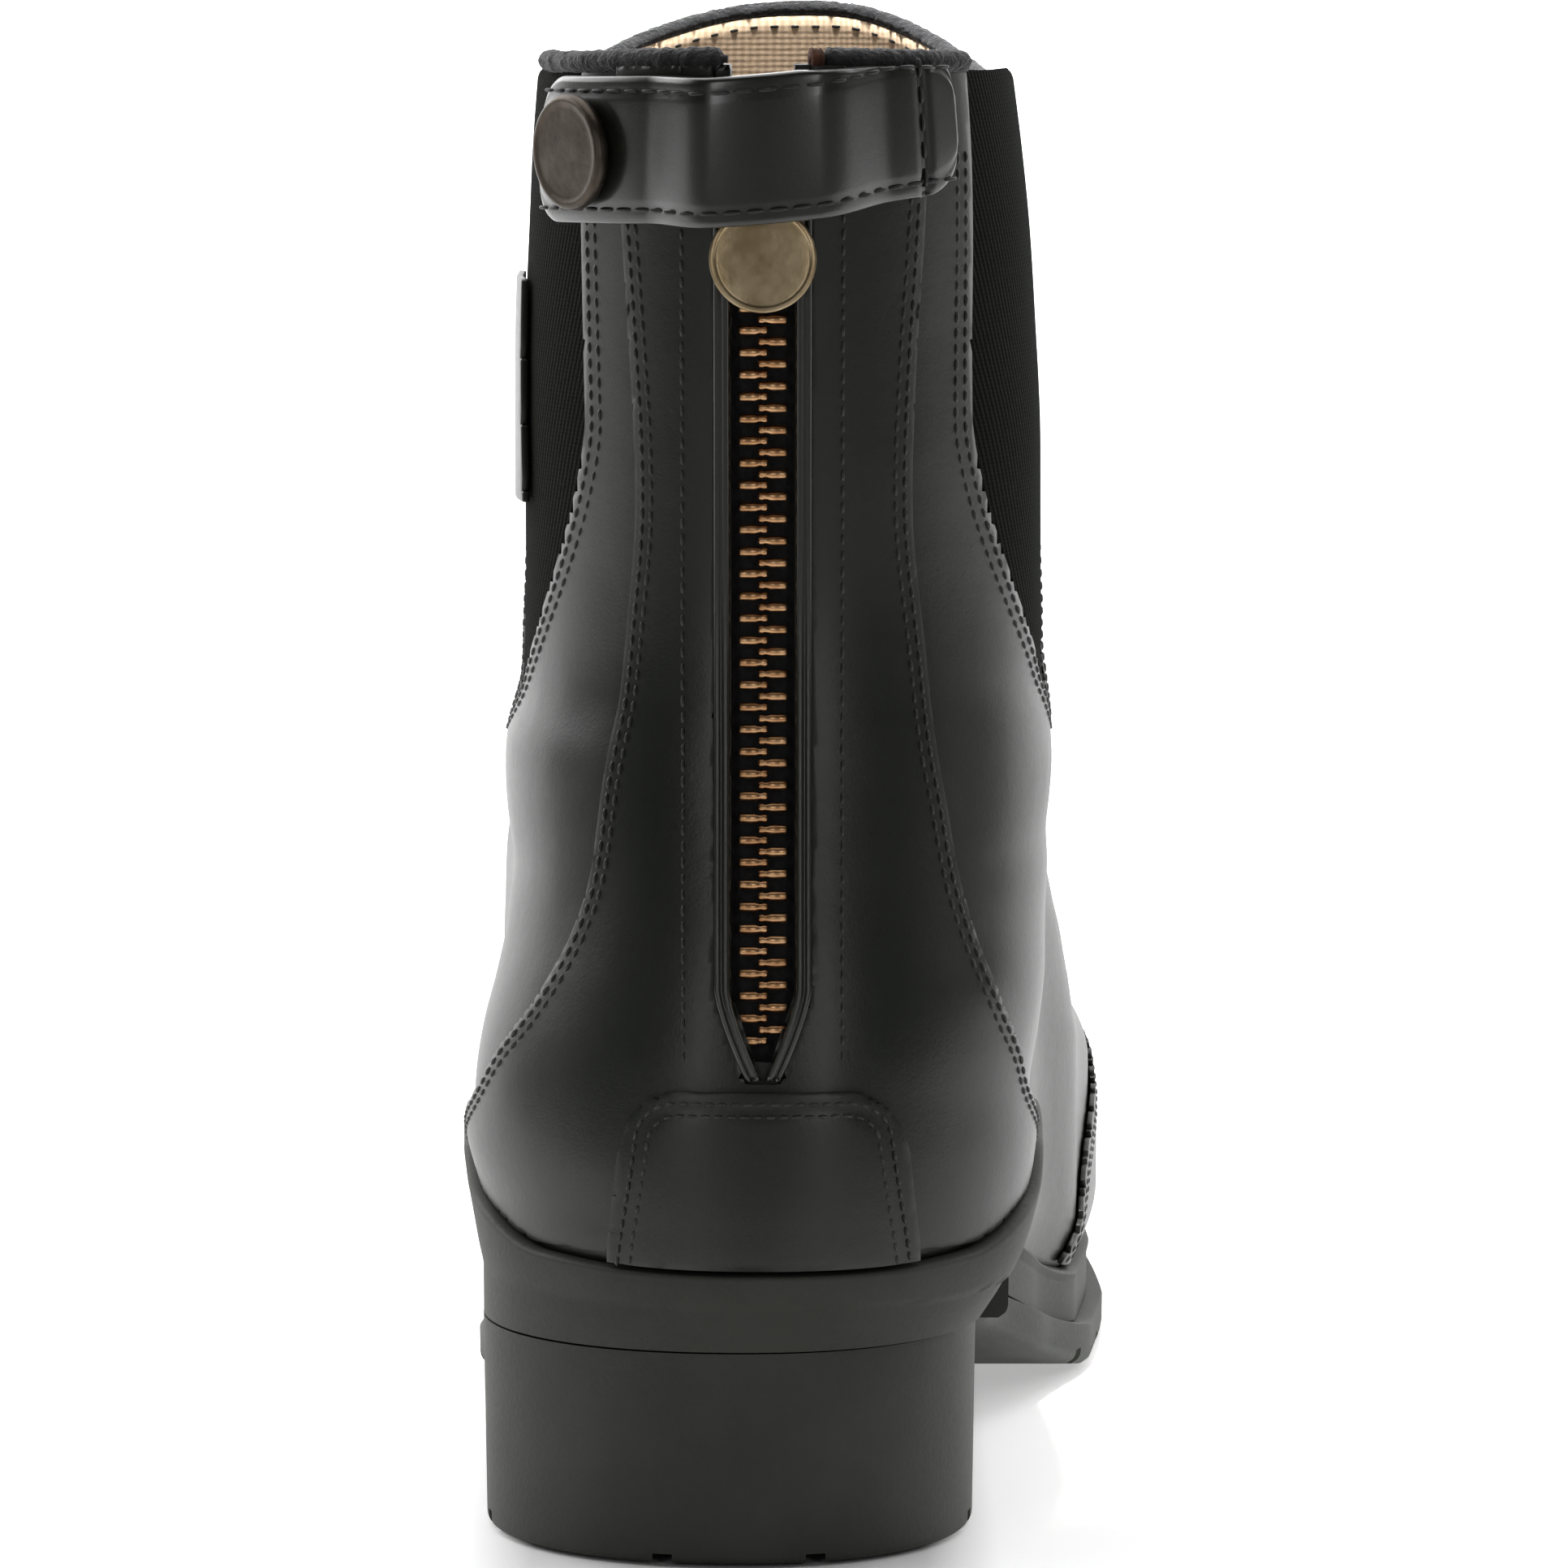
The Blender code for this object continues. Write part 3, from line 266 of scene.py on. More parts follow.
@dataclass(frozen=True)
class Last:
    """Form of the boot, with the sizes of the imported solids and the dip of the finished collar."""

    upper_length: float = 268 * MM
    heel_back: float = 37 * MM
    shaft_depth: float = 111 * MM
    shaft_breadth: float = 70 * MM
    ball_breadth: float = 91 * MM
    heel_height: float = 28.5 * MM
    shaft_rise: float = 164 * MM
    front_rise: float = 181.8 * MM
    toe_spring: float = 10 * MM
    upper_wall: float = 2.2 * MM
    clearance: float = 0.3 * MM
    seam_x: float = 4.6 * MM
    collar_front_x: float = 11 * MM
    toe_x: float = 13 * MM
    collar_dip: float = 1 * MM
    finished_dip: float = 4.2 * MM
    dip_starts: tuple[float, float] = (-3 * MM, 30 * MM)
    dip_ends: tuple[float, float] = (44 * MM, 72 * MM)
    back_power: float = 2.15
    nose_power: float = 2.5
    cup_floor: float = 4 * MM
    cup_wall: float = 2.6 * MM
    outsole_thickness: float = 6 * MM
    welt_flange: float = 2.4 * MM
    breast_y: float = 33 * MM
    waist_start: float = 8 * MM
    ball_y: float = 134 * MM
    ball_flat: float = 10 * MM

    def seat_z(self, y: np.ndarray) -> np.ndarray:
        """Height of the rubber cup's floor along the foot."""
        ball = self.outsole_thickness + self.cup_floor
        heel = self.heel_height + self.cup_floor
        drop = smoothstep(self.breast_y - self.waist_start, self.ball_y, y)
        lift_off = self.ball_y + self.ball_flat
        toe = self.upper_length - self.heel_back
        spring = self.toe_spring * np.maximum((y - lift_off) / (toe - lift_off), 0.0) ** 1.7
        return heel + drop * (ball - heel) + spring

    def tread_z(self, y: np.ndarray) -> np.ndarray:
        """Underside of the rubber cup along the foot."""
        return self.seat_z(y) - self.cup_floor

    def cup_top_z(self, y: np.ndarray) -> np.ndarray:
        """Height of the rubber wall's top edge along the foot."""
        rise = along_table(CUP_EDGE, (y + self.heel_back) / self.upper_length)[:, 0]
        return self.seat_z(y) + rise * self.heel_height

    def collar_z(self, y: np.ndarray) -> np.ndarray:
        """Height of the finished collar along the shaft, lower beside its front."""
        ring = self.point(np.ones(160), np.linspace(0, 1, 160))
        dip = smoothstep(*self.dip_starts, y) * (1 - smoothstep(*self.dip_ends, y))
        return np.interp(y, ring[:, 1], ring[:, 2]) - self.finished_dip * dip

    def collar(self, around: np.ndarray, below: float = 0.0) -> np.ndarray:
        """Share of the form's height at the finished collar."""
        found = self.height_of(around, lambda y: self.collar_z(y) - below)
        return np.minimum(found, 1.0)

    @staticmethod
    def wrapped(around: np.ndarray) -> np.ndarray:
        """Places round the form brought back between -1 and 1."""
        around = np.where(around > 1, around - 2, around)
        return np.where(around < -1, around + 2, around)

    @staticmethod
    def cap(share: np.ndarray, power: float) -> np.ndarray:
        """Quarter of a rounded end: 0 at its tip, 1 from one radius on."""
        return (1 - (1 - np.clip(share, 0.0, 1.0)) ** power) ** (1 / power)

    def point(self, height: np.ndarray, around: np.ndarray) -> np.ndarray:
        """Points on the bare form.

        Args:
            height: Shares from the feather edge to the collar.
            around: 0 at the back seam, 1 at the front over the inner side, -1 over the outer.

        Returns:
            An array of points.
        """
        height, around = np.broadcast_arrays(np.asarray(height, float), np.asarray(around, float))
        shape = height.shape
        height, around = height.ravel(), self.wrapped(around.ravel())
        back, inset, reach, front, sag, outer, inner, roundness, nose = through_rows(RINGS, height).T
        seat_back, seat_toe = self.seat_z(np.array([-self.heel_back, self.upper_length - self.heel_back]))
        back_y = -self.heel_back + inset * self.shaft_depth
        back_z = seat_back + self.clearance + back * self.shaft_rise
        front_y = -self.heel_back + reach * self.upper_length
        front_z = seat_toe + self.clearance + front * self.front_rise
        run = front_y - back_y
        share = (1 - np.cos(np.pi * np.abs(around))) / 2
        along = run * share
        y = back_y + along
        chord = seat_back + (seat_toe - seat_back) * share
        z = back_z + (front_z - back_z) * share + sag * (self.seat_z(y) - chord)
        collar = back_z - self.collar_dip * smoothstep(0.05, 0.35, np.abs(around))
        collar = collar + (front_z - back_z + self.collar_dip) * smoothstep(0.72, 1.0, np.abs(around))
        z = z + (collar - z) * smoothstep(0.84, 1.0, height)

        step = 0.02
        slope = through_rows(RINGS, height + step) - through_rows(RINGS, height - step)
        slope_y, slope_z = slope[:, 2] * self.upper_length, slope[:, 3] * self.front_rise
        steep = np.maximum(np.abs(slope_z) / np.hypot(slope_y, slope_z), 0.30)
        rounding = self.cap(along / (roundness * self.shaft_depth), self.back_power)
        rounding = rounding * self.cap((run - along) / (nose * self.shaft_depth / steep), self.nose_power)

        is_outer = around < 0
        plan_outer, plan_inner = along_table(PLAN, (y + self.heel_back) / self.upper_length).T
        plan = np.where(is_outer, plan_outer, plan_inner)
        shaft = np.where(is_outer, outer, inner) * self.shaft_breadth
        foot = smoothstep(20 * MM, 95 * MM, y) * (1 - smoothstep(0.45, 0.62, height))
        bulge = 0.955 + 0.075 * smoothstep(0.0, 0.10, height)
        middle = self.seam_x + (self.collar_front_x - self.seam_x) * share
        middle = middle + (self.toe_x - self.collar_front_x) * share * (1 - smoothstep(0.2, 0.6, height))
        middle = middle - 2.4 * MM * np.sin(np.pi * share) * (1 - smoothstep(0.0, 0.45, height))
        edge = shaft * (1 - foot) + plan * self.ball_breadth * bulge * foot
        edge_x = np.where(is_outer, self.seam_x - edge, edge)
        x = middle + (edge_x - middle) * rounding
        return np.stack([x, y, z], axis=-1).reshape(shape + (3,))

    def normal(self, height: np.ndarray, around: np.ndarray) -> np.ndarray:
        """Outward normals of the form at places on it."""
        step, turn = 0.004, 0.008
        low, high = np.maximum(height - step, 0.0), np.minimum(height + step, 1.0)
        up = self.point(high, around) - self.point(low, around)
        across = self.point(height, around + turn) - self.point(height, around - turn)
        found = np.cross(across, up)
        return found / np.linalg.norm(found, axis=-1, keepdims=True)

    def folds(self, height: np.ndarray, around: np.ndarray) -> np.ndarray:
        """Depth of the leather's soft folds at places on the form."""
        total = np.zeros(np.broadcast(height, around).shape)
        around = self.wrapped(around)
        for at_h, at_a, half_h, half_a, depth, slant in FOLDS:
            off = self.wrapped(around - at_a)
            over = height - at_h - slant * off * np.sign(at_a)
            total = total - depth * MM * np.exp(-((over / half_h) ** 2) - (off / half_a) ** 2)
        return total

    def lifted(self, height: np.ndarray, around: np.ndarray, lift: np.ndarray) -> np.ndarray:
        """Points on the form with its folds, lifted along the outward normal.

        Args:
            height: Shares up the form.
            around: Places round it.
            lift: Distance outwards in metres.

        Returns:
            An array of points.
        """
        height, around = np.broadcast_arrays(np.asarray(height, float), np.asarray(around, float))
        away = np.broadcast_to(np.asarray(lift, float), height.shape) + self.folds(height, around)
        return self.point(height, around) + self.normal(height, around) * away[..., None]

    def height_of(self, around: np.ndarray, level: Callable[[np.ndarray], np.ndarray]) -> np.ndarray:
        """Places up the form where it reaches a level that may vary along the foot."""
        around = np.asarray(around, float)

        def below(height: np.ndarray) -> np.ndarray:
            """Whether the form lies below the level there."""
            at = self.point(height, around)
            return at[..., 2] < level(at[..., 1])

        return bisect(below, np.zeros_like(around), np.ones_like(around))

    def on_back(self, x: np.ndarray, z: np.ndarray) -> tuple[np.ndarray, np.ndarray]:
        """Places on the form that lie at X and Z on its back.

        Args:
            x: Places along X.
            z: Heights in metres.

        Returns:
            The heights and the places round the form.
        """
        x, z = np.broadcast_arrays(np.asarray(x, float), np.asarray(z, float))
        sign = np.where(x < self.seam_x, -1.0, 1.0)
        low, high = np.where(sign < 0, -0.5, 0.0), np.where(sign < 0, 0.0, 0.5)
        height = self.height_of(np.zeros_like(x), lambda y: z)
        for _ in range(2):
            level = height
            around = bisect(lambda a: self.point(level, a)[..., 0] < x, low, high)
            height = self.height_of(around, lambda y: z)
        return height, around

    def at_side(self, y: np.ndarray, z: np.ndarray, side: Side) -> tuple[np.ndarray, np.ndarray]:
        """Places on one side of the form that lie at Y and Z.

        Args:
            y: Places along the foot.
            z: Heights in metres.
            side: The side to look on.

        Returns:
            The heights and the places round the form.
        """
        y, z = np.broadcast_arrays(np.asarray(y, float), np.asarray(z, float))
        height = self.height_of(np.full(y.shape, 0.5 * side.value), lambda _: z)
        for _ in range(4):
            level = height
            turn = bisect(lambda a: self.point(level, a * side.value)[..., 1] < y,
                          np.zeros_like(y), np.ones_like(y))
            height = self.height_of(turn * side.value, lambda _: z)
        return height, turn * side.value

    def slopes(self, height: np.ndarray, around: np.ndarray) -> tuple[np.ndarray, np.ndarray]:
        """How far a point moves for a small step up the form and round it, for each unit of the step."""
        step = 0.003
        low, high = np.maximum(height - step, 0.0), np.minimum(height + step, 1.0)
        up = (self.point(high, around) - self.point(low, around)) / (high - low)[..., None]
        over = (self.point(height, around + step) - self.point(height, around - step)) / (2 * step)
        return up, over

    def moved(self, height: np.ndarray, around: np.ndarray, shift: np.ndarray) -> tuple[np.ndarray, np.ndarray]:
        """Places on the form after a short shift along its surface.

        Args:
            height: Shares up the form.
            around: Places round it.
            shift: Shift of each in metres.

        Returns:
            The heights and the places round the form.
        """
        up, over = self.slopes(height, around)
        uu, oo, uo = (up * up).sum(-1), (over * over).sum(-1), (up * over).sum(-1)
        su, so = (shift * up).sum(-1), (shift * over).sum(-1)
        whole = uu * oo - uo * uo
        rise, turn = (su * oo - so * uo) / whole, (so * uu - su * uo) / whole
        return np.clip(height + rise, 0.0, 1.0), around + turn

    def foot_loop(self, reach: np.ndarray, around: np.ndarray) -> np.ndarray:
        """Plan of the foot at the feather edge, grown outwards.

        Args:
            reach: Distances outwards, one for each place.
            around: Places round the foot.

        Returns:
            Points in X and Y.
        """
        edge = self.point(np.full_like(around, 0.03), around)[:, :2]
        along = np.roll(edge, -1, axis=0) - np.roll(edge, 1, axis=0)
        outward = np.stack([along[:, 1], -along[:, 0]], axis=-1)
        outward = outward / np.linalg.norm(outward, axis=-1, keepdims=True)
        return edge + outward * np.asarray(reach)[:, None]


LAST = Last()
FAR = 90 * MM
SKY_Z = 240 * MM


def inside_outline(u: np.ndarray, v: np.ndarray, outline: np.ndarray) -> np.ndarray:
    """Distance inside a closed outline, negative outside it.

    Args:
        u: First coordinates of the points.
        v: Second coordinates.
        outline: Corners of the outline, in the same plane.

    Returns:
        Signed distances.
    """
    points = np.stack([u.ravel(), v.ravel()], axis=-1)[:, None, :]
    start, stop = outline[None], np.roll(outline, -1, axis=0)[None]
    along = stop - start
    share = ((points - start) * along).sum(-1) / np.maximum((along * along).sum(-1), 1e-18)
    near = start + np.clip(share, 0.0, 1.0)[..., None] * along
    distance = np.linalg.norm(points - near, axis=-1).min(axis=1)
    crosses = (start[..., 1] > points[..., 1]) != (stop[..., 1] > points[..., 1])
    rise = np.where(along[..., 1] == 0, 1.0, along[..., 1])
    at = start[..., 0] + (points[..., 1] - start[..., 1]) / rise * along[..., 0]
    within = (crosses & (points[..., 0] < at)).sum(axis=1) % 2 == 1
    return np.where(within, distance, -distance).reshape(u.shape)


def seam_line(rows: np.ndarray, count: int = 40) -> np.ndarray:
    """Points of a side seam in Y and Z, from the top down or from the feather edge up."""
    seat = LAST.heel_height + LAST.cup_floor
    height, along = through_rows(rows, np.linspace(0, 1, count)).T
    return np.stack([-LAST.heel_back + along * LAST.upper_length, seat + height * LAST.shaft_rise], -1)


@dataclass(frozen=True)
class Opening:
    """U-shaped opening of an elastic side."""

    middle_y: float = 19 * MM
    half_width: float = 33 * MM
    bottom_z: float = 109 * MM
    shoulder_z: float = 150 * MM
    lean: float = 3 * MM

    def outline(self, grow: float = 0.0) -> np.ndarray:
        """Outline in Y and Z, grown by a clearance."""
        top = float(LAST.seat_z(np.array([0.0]))[0]) + LAST.shaft_rise + 25 * MM
        half = self.half_width + grow
        drop = self.shoulder_z - self.bottom_z + grow
        angle = np.linspace(0, np.pi, 61)
        power = 1 / 0.72
        across = np.sign(np.cos(angle)) * np.abs(np.cos(angle)) ** power * half
        lower = np.stack([self.middle_y - across, self.shoulder_z - drop * np.sin(angle) ** power], -1)
        first = [(self.middle_y - half - self.lean, top)]
        return np.concatenate([first, lower, [(self.middle_y + half, top)]])

    def inside(self, points: np.ndarray, grow: float = 0.0) -> np.ndarray:
        """Distance inside the opening on either side of the boot."""
        return inside_outline(points[..., 1], points[..., 2], self.outline(grow))


@dataclass(frozen=True)
class Slot:
    """Opening of the zip on the back, pointed at its lower end."""

    half_width: float = 4.2 * MM
    bottom_z: float = 64.5 * MM
    taper: float = 11.5 * MM
    tip: float = 0.2 * MM

    def outline(self, grow: float = 0.0, deeper: float = 0.0) -> np.ndarray:
        """Outline in X and Z, grown by a clearance."""
        half, tip, bend = self.half_width + grow, self.tip + grow, self.bottom_z + self.taper
        low = self.bottom_z - deeper
        rows = [(-half, SKY_Z), (-half, bend), (-tip, low), (tip, low), (half, bend), (half, SKY_Z)]
        return np.array([(LAST.seam_x + x, z) for x, z in rows])

    def inside(self, points: np.ndarray, grow: float = 0.0, deeper: float = 0.0) -> np.ndarray:
        """Distance inside the slot, for points on the back half of the boot."""
        found = inside_outline(points[..., 0], points[..., 2], self.outline(grow, deeper))
        return np.where(points[..., 1] < 10 * MM, found, -20 * MM)


OPENING = Opening()
SLOT = Slot()


def above_cup(points: np.ndarray, gap: float) -> np.ndarray:
    """Height above the rubber wall's top edge, less a gap."""
    y = points[..., 1].ravel()
    return (points[..., 2].ravel() - LAST.cup_top_z(y) - gap).reshape(points.shape[:-1])


def under_collar(points: np.ndarray) -> np.ndarray:
    """Depth below the finished collar."""
    y = points[..., 1].ravel()
    return (LAST.collar_z(y) + 0.02 * MM - points[..., 2].ravel()).reshape(points.shape[:-1])


def closed_mesh(name: str, points: np.ndarray, faces: np.ndarray) -> bpy.types.Mesh:
    """Mesh from arrays of points and faces."""
    mesh = bpy.data.meshes.new(name)
    mesh.from_pydata(points.tolist(), [], faces if isinstance(faces, list) else faces.tolist())
    mesh.update()
    return mesh


def set_attribute(mesh: bpy.types.Mesh, name: str, values: np.ndarray) -> None:
    """Stores one number for each vertex under a name."""
    found = mesh.attributes.new(name, "FLOAT", "POINT")
    found.data.foreach_set("value", np.asarray(values, np.float32).ravel())


def linked(name: str, data: bpy.types.ID) -> bpy.types.Object:
    """New object in the scene that shows some data."""
    obj = bpy.data.objects.new(name, data)
    bpy.context.scene.collection.objects.link(obj)
    return obj


def painted(obj: bpy.types.Object, material: bpy.types.Material) -> bpy.types.Object:
    """Gives an object one finish in place of those that it has."""
    obj.data.materials.clear()
    obj.data.materials.append(material)
    return obj


def place(mesh: bpy.types.Mesh, material: bpy.types.Material) -> bpy.types.Object:
    """Puts a mesh in the scene at the origin, smoothly shaded, with its finish."""
    obj = painted(linked(mesh.name, mesh), material)
    obj.data.shade_smooth()
    return obj


def applied(obj: bpy.types.Object) -> bpy.types.Object:
    """Turns an object with modifiers into a plain mesh."""
    bpy.context.view_layer.update()
    graph = bpy.context.evaluated_depsgraph_get()
    mesh = bpy.data.meshes.new_from_object(obj.evaluated_get(graph), depsgraph=graph)
    old = obj.data
    obj.modifiers.clear()
    obj.data = mesh
    mesh.name = obj.name
    if old.users == 0:
        bpy.data.batch_remove([old])
    return obj


def rounded(obj: bpy.types.Object, width: float) -> bpy.types.Object:
    """Rounds the edges sharper than 50 degrees, and gives the object back as a plain mesh."""
    bevel = obj.modifiers.new("round", "BEVEL")
    bevel.width = width
    bevel.segments = 2
    bevel.limit_method = "ANGLE"
    bevel.angle_limit = math.radians(50)
    return applied(obj)


def grid_faces(rows: int, columns: int, wrap: bool) -> np.ndarray:
    """Quads of a grid, facing outwards for columns that run to the right and rows that run up."""
    index = np.arange(rows * columns).reshape(rows, columns)
    right = np.roll(index, -1, axis=1)
    quads = np.stack([index[:-1], right[:-1], right[1:], index[1:]], -1)
    if not wrap:
        quads = quads[:, :-1]
    return quads.reshape(-1, 4)


def thick_mesh(name: str, top: np.ndarray, bottom: np.ndarray, faces: np.ndarray) -> bpy.types.Mesh:
    """Closed layer between two copies of a surface.

    Args:
        name: Name of the mesh.
        top: Points of the face that looks outwards.
        bottom: The same points on the other face.
        faces: Quads of the surface.

    Returns:
        The mesh: the top's vertices come before the bottom's.
    """
    used = np.unique(faces)
    renumber = np.full(len(top), -1)
    renumber[used] = np.arange(len(used))
    faces = renumber[faces]
    count = len(used)
    pairs = np.stack([faces, np.roll(faces, -1, axis=1)], -1).reshape(-1, 2)
    keys = pairs[:, 0] * count + pairs[:, 1]
    mirrored = pairs[:, 1] * count + pairs[:, 0]
    rim = pairs[~np.isin(mirrored, keys)]
    walls = np.stack([rim[:, 0], rim[:, 0] + count, rim[:, 1] + count, rim[:, 1]], -1)
    every = np.concatenate([faces, faces[:, ::-1] + count, walls])
    return closed_mesh(name, np.concatenate([top[used], bottom[used]]), every)


def girth(around: np.ndarray) -> np.ndarray:
    """Distance round the shaft from the back seam, measured near the collar."""
    places = np.linspace(-1.6, 1.6, 1601)
    length = walked(LAST.point(np.full_like(places, 0.9), places))
    return np.interp(around, places, length - length[len(places) // 2])


@dataclass
class Layer:
    """Layer of leather or cloth laid on the form inside an outline."""

    name: str
    low: float
    high: float
    inside: Callable[[np.ndarray], np.ndarray]
    heights: tuple[float, float, int]
    turns: tuple[float, float, int]
    wrap: bool = False
    edge: float = 0.35 * MM
    relief: Callable[[np.ndarray, np.ndarray], np.ndarray] | None = None
    sewn: Callable[[np.ndarray], np.ndarray] | None = None

    def grid(self) -> tuple[np.ndarray, np.ndarray]:
        """Regular places on the form."""
        h = np.linspace(*self.heights)
        a = np.linspace(self.turns[0], self.turns[1], self.turns[2], endpoint=not self.wrap)
        return np.meshgrid(h, a, indexing="ij")

    def snapped(self) -> tuple[np.ndarray, np.ndarray, np.ndarray, np.ndarray]:
        """Moves the places beside the outline onto it.

        Returns:
            Heights, places round the form, distances inside, and which were moved.
        """
        h, a = self.grid()
        dh = (self.heights[1] - self.heights[0]) / (self.heights[2] - 1)
        da = (self.turns[1] - self.turns[0]) / (self.turns[2] - (0 if self.wrap else 1))
        found = self.inside(LAST.point(h, a))
        reach = 12 * MM
        close = np.abs(found) < reach

        def slopes(hs: np.ndarray, turns: np.ndarray, at: np.ndarray) -> tuple[np.ndarray, np.ndarray]:
            """Change of the distance for one cell up and for one cell round."""
            step = 0.02
            above = np.minimum(hs + step * dh, 1.0)
            up = self.inside(LAST.point(above, turns)) - at
            gain = above - hs
            over = self.inside(LAST.point(hs, turns + step * da)) - at
            return up / np.where(gain == 0, 1.0, gain) * dh, over / step

        hs, turns, at = h[close], a[close], found[close]
        up, over = slopes(hs, turns, at)
        near = np.abs(at) < 0.56 * np.maximum(np.maximum(np.abs(up), np.abs(over)), 1e-9)
        hs, turns, at = hs[near], turns[near], at[near]
        home_h, home_a = hs.copy(), turns.copy()
        for _ in range(5):
            up, over = slopes(hs, turns, at)
            size = np.maximum(up * up + over * over, 1e-12)
            hs = np.clip(hs - at * up / size * dh, home_h - 0.8 * dh, home_h + 0.8 * dh)
            turns = np.clip(turns - at * over / size * da, home_a - 0.8 * da, home_a + 0.8 * da)
            hs = np.clip(hs, self.heights[0], self.heights[1])
            at = self.inside(LAST.point(hs, turns))
        moved = np.zeros(h.shape, bool)
        flat = np.flatnonzero(close.ravel())[near]
        moved.ravel()[flat] = True
        h.ravel()[flat], a.ravel()[flat], found.ravel()[flat] = hs, turns, at
        return h, a, found, moved

    def build(self, material: bpy.types.Material) -> bpy.types.Object:
        """Builds the layer as a closed mesh with rounded edges and two measures for its ribs."""
        h, a, found, moved = self.snapped()
        faces = grid_faces(h.shape[0], h.shape[1], self.wrap)
        flat, shifted = found.ravel(), moved.ravel()
        outside = (flat < 0) & ~shifted
        centre = LAST.point(h.ravel()[faces].mean(1), self.middle_turn(a.ravel()[faces]))
        keep = ~outside[faces].any(axis=1)
        all_moved = shifted[faces].all(axis=1)
        keep &= ~all_moved | (self.inside(centre) > 0)
        faces = faces[keep]
        sewn = self.sewn or self.inside
        here = LAST.point(h, a)
        at, steps = sewn(here), []
        for other in (LAST.point(np.where(h > 0.5, h - 0.002, h + 0.002), a), LAST.point(h, a + 0.002)):
            steps.append((sewn(other) - at) / np.linalg.norm(other - here, axis=-1))
        depth = np.maximum(at / np.clip(np.hypot(*steps), 0.15, 1.5), 0.0)
        high = np.full(h.shape, self.high)
        if self.relief is not None:
            high = high + self.relief(LAST.point(h, a), depth)
        top = LAST.lifted(h, a, high).reshape(-1, 3)
        bottom = LAST.lifted(h, a, self.low).reshape(-1, 3)
        mesh = thick_mesh(self.name, top, bottom, faces)
        used = np.unique(faces)
        set_attribute(mesh, "along_mm", np.tile(girth(np.abs(LAST.wrapped(a.ravel()[used]))) / MM, 2))
        set_attribute(mesh, "up_mm", np.tile(top[used, 2] / MM, 2))
        obj = place(mesh, material)
        return rounded(obj, self.edge) if self.edge else obj

    def middle_turn(self, corners: np.ndarray) -> np.ndarray:
        """Middle of each cell round the form, also where the ring closes."""
        wide = np.ptp(corners, axis=1) > 1
        shifted = np.where((corners < 0) & wide[:, None], corners + 2, corners)
        middle = shifted.mean(1)
        return np.where(middle > 1, middle - 2, middle)


@dataclass(frozen=True)
class Leather:
    """Smooth black leather with a soft gloss and a fine grain."""

    name: str = "leather"
    colour: tuple[float, float, float] = (0.0095, 0.0112, 0.0076)
    worn: tuple[float, float, float] = (0.0135, 0.0152, 0.0110)
    roughness: float = 0.33
    coat: float = 0.10
    coat_roughness: float = 0.25
    grain: float = 0.16
    waves: float = 0.10
    specular: float = 0.42
    bump: float = 0.00012

    def make(self) -> bpy.types.Material:
        """Builds the material."""
        kit = Nodes(self.name)
        place_at = kit.coordinates()
        broad = kit.noise(place_at, 26.0, 2.0)
        fine = kit.noise(place_at, 900.0, 3.0)
        cells = kit.voronoi(place_at, 1500.0)
        colour = kit.mix(kit.ramp(broad, 0.35, 0.75), self.colour, self.worn)
        kit.link(colour, "Base Color")
        rough = kit.math("ADD", kit.math("MULTIPLY", broad, 0.16), self.roughness - 0.08)
        kit.link(kit.math("ADD", rough, kit.math("MULTIPLY", fine, 0.07)), "Roughness")
        kit.set("Coat Weight", self.coat)
        kit.set("Coat Roughness", self.coat_roughness)
        kit.set("Specular IOR Level", self.specular)
        height = kit.math("ADD", kit.math("MULTIPLY", cells, self.grain), kit.math("MULTIPLY", fine, self.grain))
        waves = kit.math("MULTIPLY", kit.noise(place_at, 70.0, 2.0), self.waves * 14)
        kit.bump(kit.math("ADD", height, waves), self.bump)
        return kit.material


@dataclass(frozen=True)
class Finish:
    """Plain finish with a speckled colour and a fine bump."""

    name: str
    colour: tuple[float, float, float]
    second: tuple[float, float, float]
    roughness: float
    metallic: float = 0.0
    scale: float = 600.0
    bump: float = 0.00005
    patches: float = 40.0
    sheen: float = 0.0
    low: float = 0.35
    high: float = 0.7
    specular: float = 0.5

    def make(self) -> bpy.types.Material:
        """Builds the material."""
        kit = Nodes(self.name)
        place_at = kit.coordinates()
        patches = kit.noise(place_at, self.patches, 4.0)
        fine = kit.noise(place_at, self.scale, 3.0)
        kit.link(kit.mix(kit.ramp(patches, self.low, self.high), self.colour, self.second), "Base Color")
        rough = kit.math("ADD", kit.math("MULTIPLY", fine, 0.14), self.roughness - 0.07)
        kit.link(rough, "Roughness")
        kit.set("Metallic", self.metallic)
        kit.set("Specular IOR Level", self.specular)
        if self.sheen:
            kit.set("Sheen Weight", self.sheen)
            kit.set("Sheen Roughness", 0.4)
        kit.bump(kit.math("ADD", fine, kit.math("MULTIPLY", patches, 0.3)), self.bump)
        return kit.material


